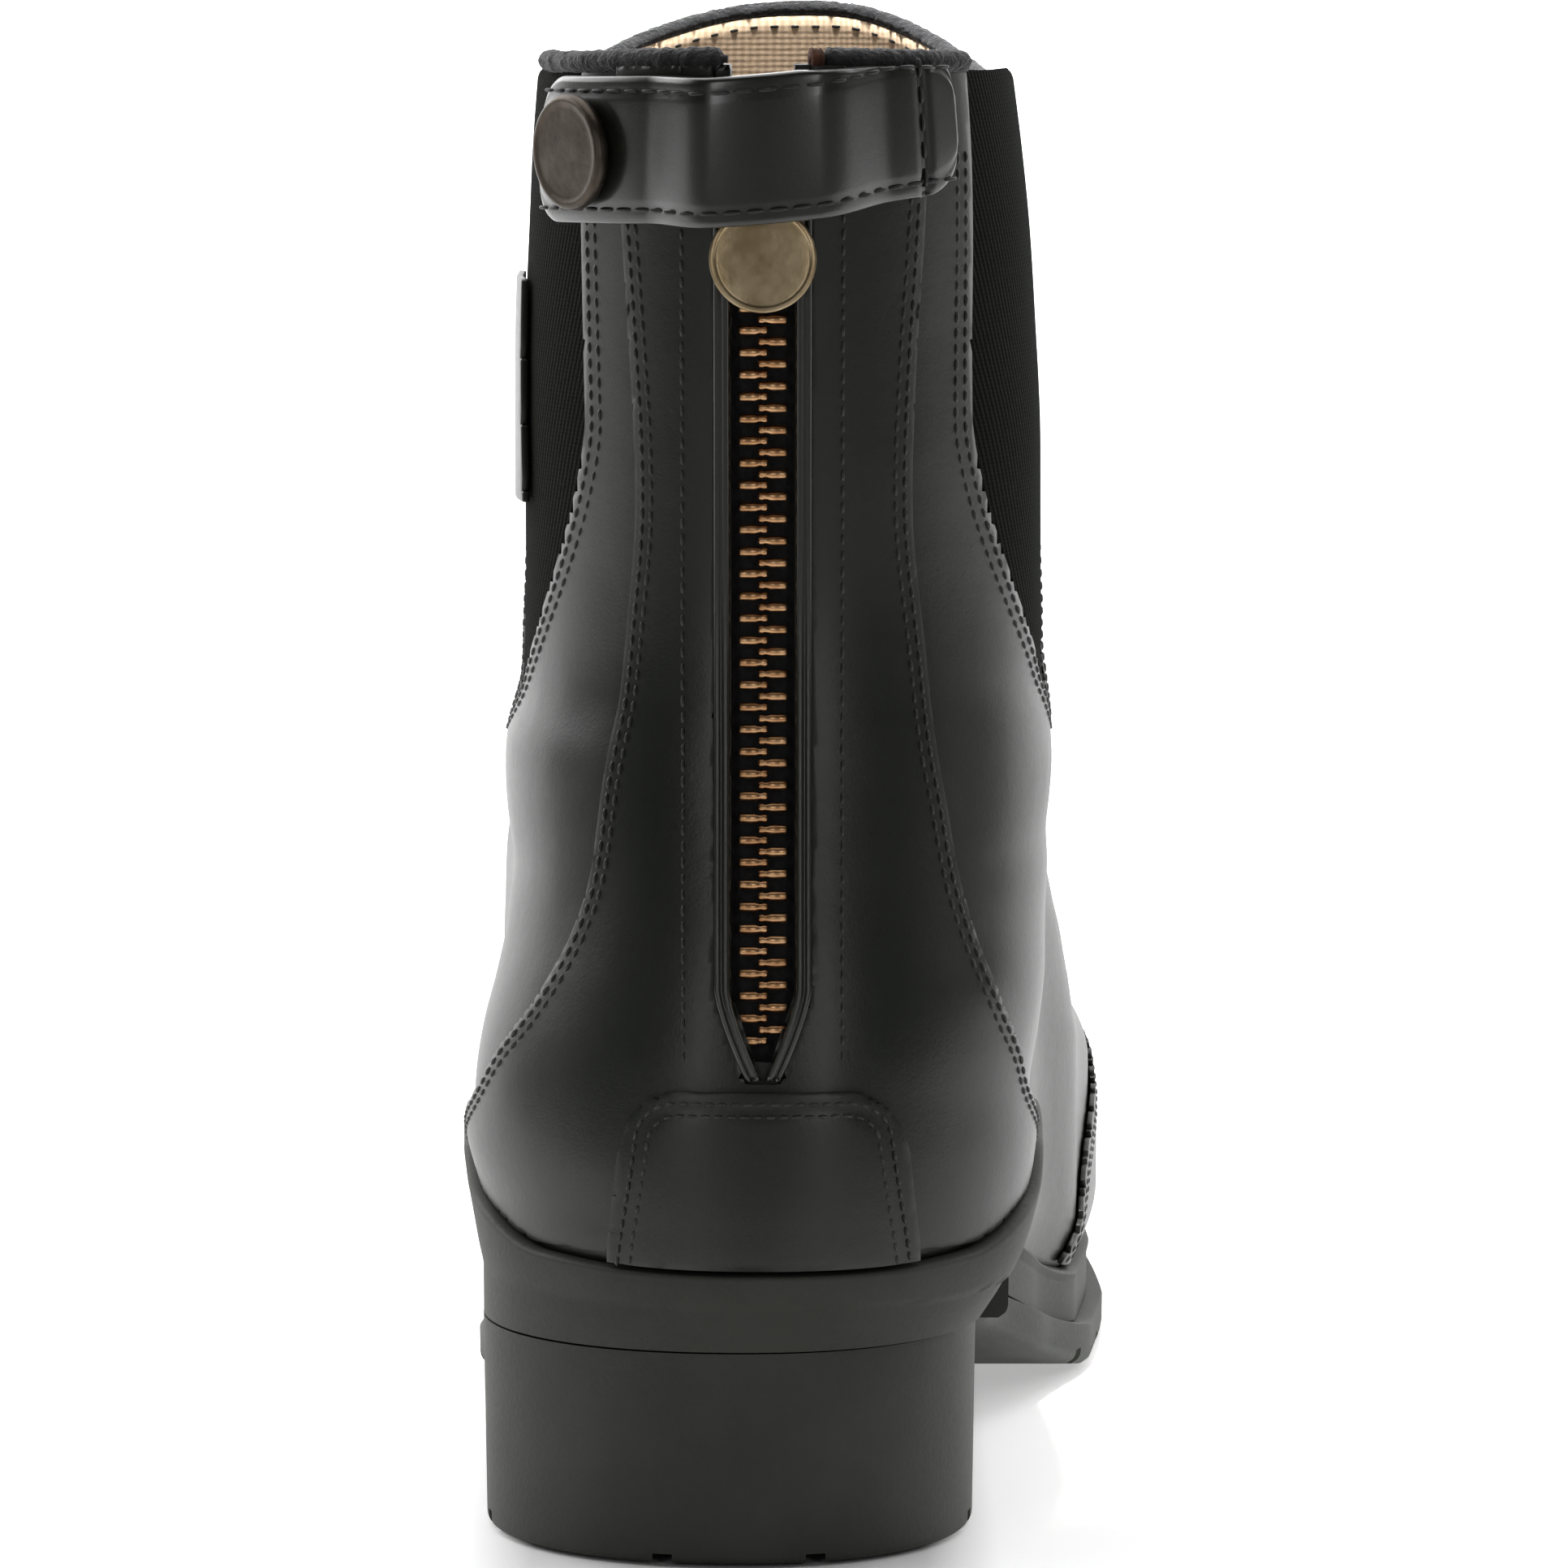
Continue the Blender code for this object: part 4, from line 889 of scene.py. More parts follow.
@dataclass(frozen=True)
class Knit:
    """Woven or knitted cloth whose ribs follow two measures kept on the mesh."""

    name: str
    colour: tuple[float, float, float]
    shade: tuple[float, float, float]
    pitch: float
    slant: float
    row: float
    roughness: float = 0.9
    sheen: float = 0.2
    specular: float = 0.25
    bump: float = 0.00014

    def make(self) -> bpy.types.Material:
        """Builds the material."""
        kit = Nodes(self.name)
        place_at = kit.coordinates()
        fine = kit.noise(place_at, 1600.0, 2.0)
        along, up = kit.attribute("along_mm"), kit.attribute("up_mm")
        shift = kit.math("MULTIPLY", kit.noise(place_at, 120.0, 1.0), 0.12)
        lean = kit.math("ADD", kit.math("ADD", along, kit.math("MULTIPLY", up, self.slant)), shift)
        rib = kit.math("SINE", kit.math("MULTIPLY", lean, 2 * math.pi / self.pitch))
        loops = kit.math("SINE", kit.math("MULTIPLY", up, 2 * math.pi / self.row))
        rib = kit.math("MULTIPLY", kit.math("ADD", kit.math("MULTIPLY", loops, 0.35), rib), 0.37)
        rib = kit.math("ADD", rib, 0.5)
        # Painted shade: the colour goes down to the shade colour in the low parts of the ribs, where the bump is low
        # too
        blend = kit.math("ADD", kit.math("MULTIPLY", rib, 0.75), kit.math("MULTIPLY", fine, 0.35))
        kit.link(kit.mix(kit.ramp(blend, 0.2, 0.9), self.shade, self.colour), "Base Color")
        kit.set("Roughness", self.roughness)
        kit.set("Sheen Weight", self.sheen)
        kit.set("Sheen Roughness", 0.5)
        kit.set("Specular IOR Level", self.specular)
        kit.bump(kit.math("ADD", rib, kit.math("MULTIPLY", fine, 0.5)), self.bump)
        return kit.material


class Nodes:
    """Short ways to wire a Principled material."""

    def __init__(self, name: str) -> None:
        """Starts a material with its Principled shader."""
        self.material = bpy.data.materials.new(name)
        self.material.use_nodes = True
        self.tree = self.material.node_tree
        self.shader = self.tree.nodes["Principled BSDF"]

    def node(self, kind: str, **inputs: object) -> bpy.types.Node:
        """Adds a node and feeds its inputs, whose names have _ for a space."""
        node = self.tree.nodes.new(kind)
        for name, value in inputs.items():
            self.feed(node.inputs[name.replace("_", " ")], value)
        return node

    def feed(self, socket: bpy.types.NodeSocket, value: object) -> None:
        """Links a socket to an input, or sets the input to a number or colour."""
        if isinstance(value, bpy.types.NodeSocket):
            self.tree.links.new(value, socket)
        elif isinstance(value, tuple) and len(value) == 3 and socket.type == "RGBA":
            socket.default_value = (*value, 1.0)
        else:
            socket.default_value = value

    def link(self, value: object, name: str) -> None:
        """Feeds one of the shader's inputs."""
        self.feed(self.shader.inputs[name], value)

    def set(self, name: str, value: float | tuple[float, ...]) -> None:
        """Sets one of the shader's inputs."""
        self.shader.inputs[name].default_value = value

    def coordinates(self) -> bpy.types.NodeSocket:
        """Object coordinates."""
        return self.node("ShaderNodeTexCoord").outputs["Object"]

    def attribute(self, name: str) -> bpy.types.NodeSocket:
        """A number stored on the mesh."""
        node = self.node("ShaderNodeAttribute")
        node.attribute_name = name
        return node.outputs["Fac"]

    def noise(self, at: bpy.types.NodeSocket, scale: float, detail: float) -> bpy.types.NodeSocket:
        """Noise from 0 to 1."""
        return self.node("ShaderNodeTexNoise", Vector=at, Scale=scale, Detail=detail).outputs["Fac"]

    def voronoi(self, at: bpy.types.NodeSocket, scale: float) -> bpy.types.NodeSocket:
        """Distance to the edges of small cells."""
        node = self.node("ShaderNodeTexVoronoi", Vector=at, Scale=scale)
        node.feature = "DISTANCE_TO_EDGE"
        return node.outputs["Distance"]

    def math(self, kind: str, first: object, second: object = 0.0) -> bpy.types.NodeSocket:
        """Result of one operation on two inputs."""
        node = self.node("ShaderNodeMath")
        node.operation = kind
        self.feed(node.inputs[0], first)
        self.feed(node.inputs[1], second)
        return node.outputs[0]

    def ramp(self, value: object, low: float, high: float, start: float = 0.0, end: float = 1.0,
             kind: str = "SMOOTHSTEP") -> bpy.types.NodeSocket:
        """Rise from one number to another while a value goes from low to high.

        Args:
            value: The value.
            low: Where the rise starts.
            high: Where it ends.
            start: Result up to low.
            end: Result from high on.
            kind: Form of the rise.

        Returns:
            The result.
        """
        node = self.node("ShaderNodeMapRange", Value=value, From_Min=low, From_Max=high, To_Min=start, To_Max=end)
        node.interpolation_type = kind
        return node.outputs["Result"]

    def mix(self, share: object, first: object, second: object) -> bpy.types.NodeSocket:
        """Mix of two colours."""
        node = self.node("ShaderNodeMix")
        node.data_type = "RGBA"
        self.feed(node.inputs[0], share)
        self.feed(node.inputs[6], first)
        self.feed(node.inputs[7], second)
        return node.outputs[2]

    def bump(self, height: object, distance: float) -> None:
        """Bump on the shader's normal."""
        node = self.node("ShaderNodeBump", Distance=distance, Strength=1.0, Height=height)
        self.link(node.outputs["Normal"], "Normal")


@dataclass(frozen=True)
class Palette:
    """Finishes of the whole boot."""

    leather: bpy.types.Material
    strap: bpy.types.Material
    cut_edge: bpy.types.Material
    elastic: bpy.types.Material
    lining: bpy.types.Material
    binding: bpy.types.Material
    tape: bpy.types.Material
    thread: bpy.types.Material
    rubber: bpy.types.Material
    snap: bpy.types.Material
    pull: bpy.types.Material
    tooth: bpy.types.Material

    @classmethod
    def make(cls) -> "Palette":
        """Builds every finish."""
        return cls(
            leather=Leather().make(),
            strap=Leather("strap_leather", roughness=0.28, coat=0.85, coat_roughness=0.20, waves=0.05).make(),
            cut_edge=Finish("raw_edge", (0.10, 0.035, 0.018), (0.02, 0.014, 0.012), 0.9, bump=0.0003,
                            scale=900.0, patches=260.0).make(),
            elastic=Knit("elastic", (0.0115, 0.0130, 0.0105), (0.003, 0.0034, 0.0028), 1.1, 0.35, 0.55,
                         roughness=1.0, sheen=0.0, specular=0.06).make(),
            lining=Knit("lining", (0.66, 0.50, 0.34), (0.50, 0.36, 0.24), 0.95, 0.0, 0.8,
                        sheen=0.1, bump=0.00007).make(),
            binding=Finish("binding", (0.012, 0.012, 0.013), (0.03, 0.03, 0.032), 0.95, bump=0.0004,
                           scale=1500.0, patches=500.0, sheen=0.4).make(),
            tape=Finish("zip_tape", (0.007, 0.007, 0.0075), (0.014, 0.014, 0.015), 0.85, bump=0.00015,
                        scale=1300.0, patches=700.0, sheen=0.15).make(),
            thread=Finish("thread", (0.009, 0.0095, 0.0085), (0.021, 0.022, 0.020), 0.5, bump=0.0001,
                          scale=2500.0, patches=500.0).make(),
            rubber=Finish("rubber", (0.0270, 0.0290, 0.0225), (0.0350, 0.0370, 0.0300), 0.60, bump=0.00006,
                          scale=1400.0, patches=55.0, specular=0.3).make(),
            snap=Finish("snap_metal", (0.062, 0.050, 0.040), (0.105, 0.088, 0.072), 0.42, 1.0, bump=0.00006,
                        scale=900.0, patches=170.0).make(),
            pull=Finish("pull_metal", (0.36, 0.265, 0.15), (0.54, 0.43, 0.27), 0.36, 1.0, bump=0.00005,
                        scale=900.0, patches=200.0).make(),
            tooth=Finish("tooth_metal", (0.46, 0.245, 0.115), (0.66, 0.40, 0.21), 0.33, 1.0, bump=0.00004,
                         scale=900.0, patches=420.0).make(),
        )


def faced(mesh: bpy.types.Mesh, merge: bool) -> bpy.types.Mesh:
    """Turns a mesh's faces outwards, after its coinciding points are merged where that is asked."""
    work = bmesh.new()
    work.from_mesh(mesh)
    if merge:
        bmesh.ops.remove_doubles(work, verts=work.verts, dist=1e-7)
    bmesh.ops.recalc_face_normals(work, faces=work.faces)
    work.to_mesh(mesh)
    work.free()
    return mesh


def loft(name: str, loops: np.ndarray) -> bpy.types.Mesh:
    """Skin over a row of closed loops, capped at both ends.

    Args:
        name: Name of the mesh.
        loops: Points in an array of loops, points and coordinates.

    Returns:
        The mesh, facing outwards.
    """
    count, size = loops.shape[:2]
    faces = grid_faces(count, size, True).tolist()
    for first in (0, (count - 1) * size):
        cap = [[first + j, first + j + 1, first + (size - j - 1) % size, first + (size - j) % size]
               for j in range(size // 2)]
        faces += [list(dict.fromkeys(face if first else face[::-1])) for face in cap]
    return faced(closed_mesh(name, loops.reshape(-1, 3), [f for f in faces if len(f) > 2]), merge=True)


def loft_ring(name: str, loops: np.ndarray) -> bpy.types.Mesh:
    """Skin over loops whose last joins the first."""
    count, size = loops.shape[:2]
    index = np.arange(count * size).reshape(count, size)
    ahead, right = np.roll(index, -1, axis=0), np.roll(index, -1, axis=1)
    faces = np.stack([index, right, np.roll(right, -1, axis=0), ahead], -1).reshape(-1, 4)
    return faced(closed_mesh(name, loops.reshape(-1, 3), faces), merge=False)


def turned(name: str, profile: Sequence[tuple[float, float]], centre: Vector, axis: Vector) -> bpy.types.Mesh:
    """Turned piece.

    Args:
        name: Name of the mesh.
        profile: Radii and places along the axis, in metres.
        centre: Middle of the piece.
        axis: Direction that it faces.

    Returns:
        The mesh.
    """
    points = 96
    turn = axis.to_track_quat("Z", "Y").to_matrix()
    angle = np.linspace(0, 2 * np.pi, points, endpoint=False)
    loops = [np.stack([r * np.cos(angle), r * np.sin(angle), np.full(points, at)], -1) for r, at in profile]
    return loft(name, np.array(loops) @ np.array(turn).T + np.array(centre))


def boolean(obj: bpy.types.Object, low: Sequence[float], high: Sequence[float]) -> None:
    """Cuts an upright box out of an object.

    Args:
        obj: The object that is cut.
        low: Lowest corner of the box.
        high: Highest corner.
    """
    corners = [[(low, high)[i][0], (low, high)[j][1], (low, high)[k][2]]
               for k in (0, 1) for j, i in ((0, 0), (0, 1), (1, 1), (1, 0))]
    faces = [[3, 2, 1, 0], [4, 5, 6, 7], [0, 1, 5, 4], [1, 2, 6, 5], [2, 3, 7, 6], [3, 0, 4, 7]]
    box = linked("cut", closed_mesh("cut", np.array(corners), faces))
    cut = obj.modifiers.new("cut", "BOOLEAN")
    cut.operation = "DIFFERENCE"
    cut.solver = "EXACT"
    cut.object = box
    applied(obj)
    bpy.data.objects.remove(box)


@dataclass(frozen=True)
class Upper:
    """Leather upper with its lining, elastic sides, collar and side tab."""

    wall: float = 1.5 * MM
    lining_low: float = -2.3 * MM
    elastic_low: float = -1.8 * MM
    elastic_high: float = -0.5 * MM
    tab_half_width: float = 12 * MM
    tab_z: tuple[float, float] = (137 * MM, 167 * MM)

    def leather(self, points: np.ndarray) -> np.ndarray:
        """Distance inside the leather, which is open at the sides and along the zip."""
        holes = np.maximum(OPENING.inside(points), SLOT.inside(points))
        return np.minimum(-holes, under_collar(points))

    def cloth(self, points: np.ndarray) -> np.ndarray:
        """Distance inside the lining."""
        holes = np.maximum(OPENING.inside(points, 2.5 * MM), SLOT.inside(points, 1.2 * MM, 1.2 * MM))
        return np.minimum(-holes, under_collar(points))

    def gore(self, side: Side) -> Callable[[np.ndarray], np.ndarray]:
        """Distance inside the elastic of one side."""
        def inside(points: np.ndarray) -> np.ndarray:
            """Distance inside, below the collar and on this side only."""
            beyond = side.value * (points[..., 0] - LAST.seam_x)
            return np.minimum(np.minimum(OPENING.inside(points, -0.15 * MM), beyond), under_collar(points))
        return inside

    def tab(self, points: np.ndarray) -> np.ndarray:
        """Distance inside the side tab."""
        y, z = points[..., 1] - OPENING.middle_y, points[..., 2]
        sides = self.tab_half_width - np.abs(y)
        ends = np.minimum(z - self.tab_z[0], self.tab_z[1] - z)
        return np.minimum(np.minimum(sides, ends), LAST.seam_x - points[..., 0])

    def build(self, palette: Palette) -> None:
        """Builds the pieces and lets them ride."""
        def pillow(_: np.ndarray, depth: np.ndarray) -> np.ndarray:
            """Leather drawn down beside the elastic."""
            return -0.14 * MM * np.exp(-((depth / (1.2 * MM)) ** 2))

        upper = Layer("upper_leather", -self.wall, 0.0, self.leather, (0.0, 1.0, 150), (-1.0, 1.0, 280),
                      wrap=True, edge=0.45 * MM, relief=pillow,
                      sewn=lambda points: -OPENING.inside(points)).build(palette.leather)
        dress(upper, "boot", "leather", "upper")
        cloth = Layer("lining_cloth", self.lining_low, -self.wall - 0.08 * MM, self.cloth, (0.03, 0.992, 110),
                      (-1.0, 1.0, 220), wrap=True, edge=0.0).build(palette.lining)
        dress(cloth, "boot", "lining")
        for side, turns, node in ((Side.OUTER, (-0.74, -0.12, 110), "gusset_outer"),
                                  (Side.INNER, (0.12, 0.74, 110), "gusset_inner")):
            gore = Layer(f"elastic_{side.label}", self.elastic_low, self.elastic_high, self.gore(side),
                         (0.36, 0.997, 120), turns, edge=0.2 * MM).build(palette.elastic)
            dress(gore, "boot", "elastic", node)
        tab = Layer("tab_leather", -0.1 * MM, 0.9 * MM, self.tab, (0.55, 0.92, 50), (-0.62, -0.22, 50),
                    edge=0.3 * MM).build(palette.leather)
        dress(tab, "boot", "leather", "side_tab")


def dress(obj: bpy.types.Object, body: str, slot: str, *nodes: str) -> None:
    """Lets a finished piece ride, hides the solids that it stands for, and reports it.

    Args:
        obj: The piece.
        body: The body that carries it.
        slot: Not used.
        nodes: The solids that it stands for.
    """
    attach(obj, body)
    if nodes:
        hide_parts(*nodes)
    LOG.info("%s: %d faces", obj.name, len(obj.data.polygons))


@dataclass(frozen=True)
class Overlays:
    """Back panel, heel patch and toe cap sewn on the upper."""

    gap: float = 0.4 * MM
    thickness: float = 0.9 * MM
    lip_room: float = 2.05 * MM
    lip_gap: float = 0.45 * MM
    rubber_gap: float = 0.6 * MM
    patch_half: float = 20 * MM
    patch_top: float = 63 * MM
    patch_corner: float = 7 * MM

    def back_seam(self, points: np.ndarray) -> np.ndarray:
        """Distance behind the back panel's side seams."""
        line = seam_line(BACK_SEAM)
        outline = np.concatenate([line, [(-FAR, line[-1, 1]), (-FAR, line[0, 1])]])
        return inside_outline(points[..., 1], points[..., 2], outline)

    def back(self, points: np.ndarray) -> np.ndarray:
        """Distance inside the back panel."""
        slot = SLOT.inside(points, self.lip_room, self.lip_gap)
        return np.minimum(np.minimum(self.back_seam(points), above_cup(points, self.rubber_gap)), -slot)

    def toe_seam(self, points: np.ndarray) -> np.ndarray:
        """Distance before the toe cap's seam."""
        line = seam_line(TOE_SEAM)
        far = 260 * MM
        outline = np.concatenate([line, [(far, line[-1, 1]), (far, line[0, 1])]])
        return inside_outline(points[..., 1], points[..., 2], outline)

    def toe(self, points: np.ndarray) -> np.ndarray:
        """Distance inside the toe cap."""
        return np.minimum(self.toe_seam(points), above_cup(points, self.rubber_gap))

    def patch_seam(self, points: np.ndarray) -> np.ndarray:
        """Distance inside the heel patch's seam."""
        half, top, corner = self.patch_half, self.patch_top, self.patch_corner
        angles = np.radians([8, 24, 40, 56, 72, 90])
        arc = np.stack([half * 0.87 - corner + corner * np.cos(angles), top - corner + corner * np.sin(angles)], -1)
        side = np.concatenate([[(half, 0.0), (half * 0.96, top - 20 * MM), (half * 0.90, top - 8 * MM)], arc])
        outline = np.concatenate([side, side[::-1] * (-1, 1)]) + (LAST.seam_x, 0)
        return inside_outline(points[..., 0], points[..., 2], outline)

    def patch(self, points: np.ndarray) -> np.ndarray:
        """Distance inside the heel patch."""
        sewn = np.minimum(self.patch_seam(points), above_cup(points, self.rubber_gap))
        return np.where(points[..., 1] < -15 * MM, sewn, -20 * MM)

    def build(self, palette: Palette) -> None:
        """Builds the panels and lets them ride."""
        def padded(_: np.ndarray, depth: np.ndarray) -> np.ndarray:
            """Leather drawn down beside a seam."""
            return -0.16 * MM * np.exp(-((depth / (1.0 * MM)) ** 2))

        def quilted(points: np.ndarray, depth: np.ndarray) -> np.ndarray:
            """Leather drawn down beside a seam and between its two rows of stitches."""
            return padded(points, depth) - 0.20 * MM * np.exp(-(((depth - 2.3 * MM) / (0.9 * MM)) ** 2))

        low, high = self.gap, self.gap + self.thickness
        for name, node, levels, inside, sewn, heights, turns, relief in (
            ("back_leather", "back_panel", (low, high), self.back, self.back_seam,
             (0.0, 1.0, 190), (-0.40, 0.40, 230), padded),
            ("toe_leather", "toe_cap", (low, high), self.toe, self.toe_seam,
             (0.0, 0.52, 80), (0.50, 1.50, 190), padded),
            ("patch_leather", "heel_patch", (2 * self.gap + self.thickness, 2 * high), self.patch, self.patch_seam,
             (0.0, 0.32, 70), (-0.26, 0.26, 110), quilted),
        ):
            layer = Layer(name, *levels, inside, heights, turns, edge=0.3 * MM, relief=relief, sewn=sewn)
            dress(layer.build(palette.leather), "boot", "leather", node)


@dataclass(frozen=True)
class Zip:
    """Zip with its cloth tape, leather lips, teeth and pull."""

    cloth_top_z: float = 190.5 * MM
    pivot_z: float = 181.7 * MM
    tape_half: float = 12 * MM
    tape_low: float = -3.7 * MM
    tape_high: float = -2.9 * MM
    tooth_pitch: float = 2.86 * MM
    tooth_top: float = -0.4 * MM
    tooth_root: float = 3.2 * MM
    tooth_thickness: float = 1.8 * MM
    tooth_length: float = 3.9 * MM
    tooth_height: float = 1.12 * MM
    pull_radius: float = 7 * MM
    pull_drop: float = 9.6 * MM
    pull_thickness: float = 1.4 * MM
    pin_lift: float = 3.1 * MM

    def half_at(self, z: np.ndarray) -> np.ndarray:
        """Half width of the slot, pointed below and wider towards the collar."""
        rise = np.clip((z - SLOT.bottom_z) / SLOT.taper, 0.0, 1.0)
        return SLOT.tip + (SLOT.half_width - SLOT.tip) * (1 - (1 - rise) ** 1.35)

    def sweep(self, name: str, z: np.ndarray, across: np.ndarray, lift: np.ndarray) -> bpy.types.Mesh:
        """Bar that follows the back: a loop of places in X and lifts for each height."""
        height, around = LAST.on_back(LAST.seam_x + across, np.broadcast_to(z[:, None], across.shape))
        return loft(name, LAST.lifted(height, around, lift))

    def lip(self, side: Side) -> bpy.types.Mesh:
        """Folded lip with two rounded ridges."""
        bend = SLOT.bottom_z + SLOT.taper
        z = np.concatenate([np.linspace(SLOT.bottom_z, bend, 16)[:-1], np.linspace(bend, self.cloth_top_z, 96)])
        profile = np.array([
            (0.02, 0.30), (-0.02, 0.80), (0.06, 1.26), (0.24, 1.52), (0.48, 1.62), (0.74, 1.60), (0.94, 1.42),
            (1.06, 1.34), (1.18, 1.44), (1.38, 1.65), (1.66, 1.70), (1.90, 1.56), (2.06, 1.22), (2.10, 0.70),
            (2.08, 0.30), (1.04, 0.28),
        ]) * MM
        if side is Side.OUTER:
            profile = profile[::-1]
        across = side.value * (self.half_at(z)[:, None] + profile[None, :, 0])
        lift = np.broadcast_to(profile[None, :, 1], across.shape)
        return self.sweep(f"lip_{side.label}", z, across, lift)

    def tape(self) -> bpy.types.Mesh:
        """Cloth tape behind the teeth, with a low cord under each row."""
        z = np.linspace(SLOT.bottom_z - 5 * MM, self.cloth_top_z, 120)
        x = np.linspace(-self.tape_half, self.tape_half, 49)
        cord = 0.35 * MM * np.exp(-(((np.abs(x) - 3.3 * MM) / (0.7 * MM)) ** 2))
        across = np.concatenate([x, x[::-1]])
        lift = np.concatenate([self.tape_low + 0 * x, (self.tape_high + cord)[::-1]])
        shape = (len(z), len(across))
        return self.sweep("tape_cloth", z, np.broadcast_to(across, shape), np.broadcast_to(lift, shape))

    def tooth(self, side: Side) -> bpy.types.Object:
        """One tooth, along X towards the other row, with a rounded body and a small head."""
        length, height, depth = self.tooth_length, self.tooth_height, self.tooth_thickness
        stations = [(0.0, 0.80), (0.06, 1.0), (0.55, 1.0), (0.68, 0.80), (0.76, 0.74), (0.84, 0.86), (0.94, 0.80),
                    (1.0, 0.45)]
        corner = [(-1, -0.6), (-0.6, -1), (0.6, -1), (1, -0.6), (1, 0.6), (0.6, 1), (-0.6, 1), (-1, 0.6)]
        loops = []
        for share, size in stations:
            low = 0.12 if 0.6 < share < 0.8 else 0.0
            x = self.tooth_root - share * length
            loops.append([(x, a * height / 2 * size, (b * size - low) * depth / 2) for a, b in corner])
        points = np.array(loops)
        if side is Side.OUTER:
            points[..., 0] *= -1
            points = points[:, ::-1]
        obj = linked(f"tooth_{side.label}", loft(f"tooth_{side.label}", points))
        obj.data.shade_smooth()
        return obj

    def teeth(self, side: Side, material: bpy.types.Material) -> bpy.types.Object:
        """Row of teeth repeated up the back."""
        z = np.linspace(SLOT.bottom_z + 0.45 * SLOT.taper, self.pivot_z + 6 * MM, 400)
        height, around = LAST.on_back(np.full_like(z, LAST.seam_x), z)
        lift = self.tooth_top - self.tooth_thickness / 2
        line = LAST.lifted(height, around, lift)
        run = walked(line)
        first = self.tooth_pitch / 2 if side is Side.INNER else 0.0
        count = int((run[-1] - self.tooth_pitch) / self.tooth_pitch)
        at = first + np.linspace(0, count * self.tooth_pitch, count * 6 + 1)
        normal = LAST.normal(height, around)
        points, outward = (np.stack([np.interp(at, run, values[:, k]) for k in range(3)], -1)
                           for values in (line, normal))
        return repeated(f"teeth_{side.label}", [Guide(points, outward)], self.tooth(side), material,
                        self.tooth_pitch, turned_up=True)

    def pull(self, palette: Palette) -> bpy.types.Object:
        """Round pull with a raised rim, a neck and the ring round the slider's pin."""
        height, around = LAST.on_back(np.array([LAST.seam_x]), np.array([self.pivot_z]))
        pivot = Vector((LAST.point(height, around) + LAST.normal(height, around) * self.pin_lift)[0].tolist())
        centre = pivot - Vector((0, 0, self.pull_drop))
        r, half = self.pull_radius, self.pull_thickness / 2
        profile = [(0.05 * MM, -half), (r - 0.35 * MM, -half), (r - 0.08 * MM, -half + 0.12 * MM),
                   (r, -half + 0.35 * MM), (r, half - 0.35 * MM), (r - 0.08 * MM, half - 0.12 * MM),
                   (r - 0.3 * MM, half), (r - 0.62 * MM, half), (r - 0.80 * MM, half - 0.16 * MM),
                   (r - 1.1 * MM, half - 0.24 * MM), (0.5 * r, half - 0.18 * MM), (0.05 * MM, half - 0.14 * MM)]
        disc = place(turned("pull_disc", profile, centre, Vector((0, -1, 0))), palette.pull)
        sharpen(disc, 35)
        ring_radius, hole, width = 1.5 * MM, 0.85 * MM, 1.45 * MM
        section = [(hole, -width), (ring_radius - 0.2 * MM, -width), (ring_radius, -width + 0.2 * MM),
                   (ring_radius, width - 0.2 * MM), (ring_radius - 0.2 * MM, width), (hole, width)]
        angle = np.linspace(0, 2 * np.pi, 40, endpoint=False)
        loops = np.array([[(x, rad * math.cos(t), rad * math.sin(t)) for rad, x in section] for t in angle])
        ring = loft_ring("pull_ring", loops + np.array(pivot))
        neck_low = centre.z + r - 1.5 * MM
        z = np.array([neck_low, neck_low + 0.5 * MM, pivot.z - 1.6 * MM, pivot.z - 1.1 * MM])
        corner = np.array([(-1.1, -0.5), (-0.8, -0.62), (0.8, -0.62), (1.1, -0.5), (1.1, 0.5), (-1.1, 0.5)]) * MM
        neck = loft("pull_neck", np.stack([np.stack([corner[:, 0] + pivot.x, corner[:, 1] + pivot.y,
                                                     np.full(6, at)], -1) for at in z]))
        return joined("pull_metal", [disc, place(ring, palette.pull), place(neck, palette.pull)])

    def build(self, palette: Palette) -> None:
        """Builds the zip and lets it ride."""
        tape = place(self.tape(), palette.tape)
        dress(tape, "boot", "zip_tape", "zip_tape")
        for side in Side:
            lip = place(self.lip(side), palette.strap)
            dress(lip, "boot", "leather", f"zip_lip_{side.label}")
            dress(self.teeth(side, palette.tooth), "boot", "tooth_metal", f"zip_teeth_{side.label}")
        dress(self.pull(palette), "pull", "antique_brass", "zip_pull")
        painted(bpy.data.objects["zip_slider"], palette.pull)


def sharpen(obj: bpy.types.Object, degrees: float) -> None:
    """Keeps edges sharper than an angle from being smoothed."""
    obj.data.set_sharp_from_angle(angle=math.radians(degrees))


def joined(name: str, parts: Sequence[bpy.types.Object]) -> bpy.types.Object:
    """Joins several objects at the origin into one."""
    work = bmesh.new()
    for part in parts:
        work.from_mesh(part.data)
    mesh = bpy.data.meshes.new(name)
    work.to_mesh(mesh)
    work.free()
    material = parts[0].data.materials[0]
    for part in parts:
        bpy.data.objects.remove(part)
    obj = place(mesh, material)
    sharpen(obj, 38)
    return obj


@dataclass(frozen=True)
class Guide:
    """Path on the boot with the direction that looks outwards at each point."""

    points: np.ndarray
    outward: np.ndarray

    @classmethod
    def on(cls, height: np.ndarray, around: np.ndarray, lift: np.ndarray | float) -> "Guide":
        """Path through places on the form."""
        return cls(LAST.lifted(height, around, lift), LAST.normal(height, around))


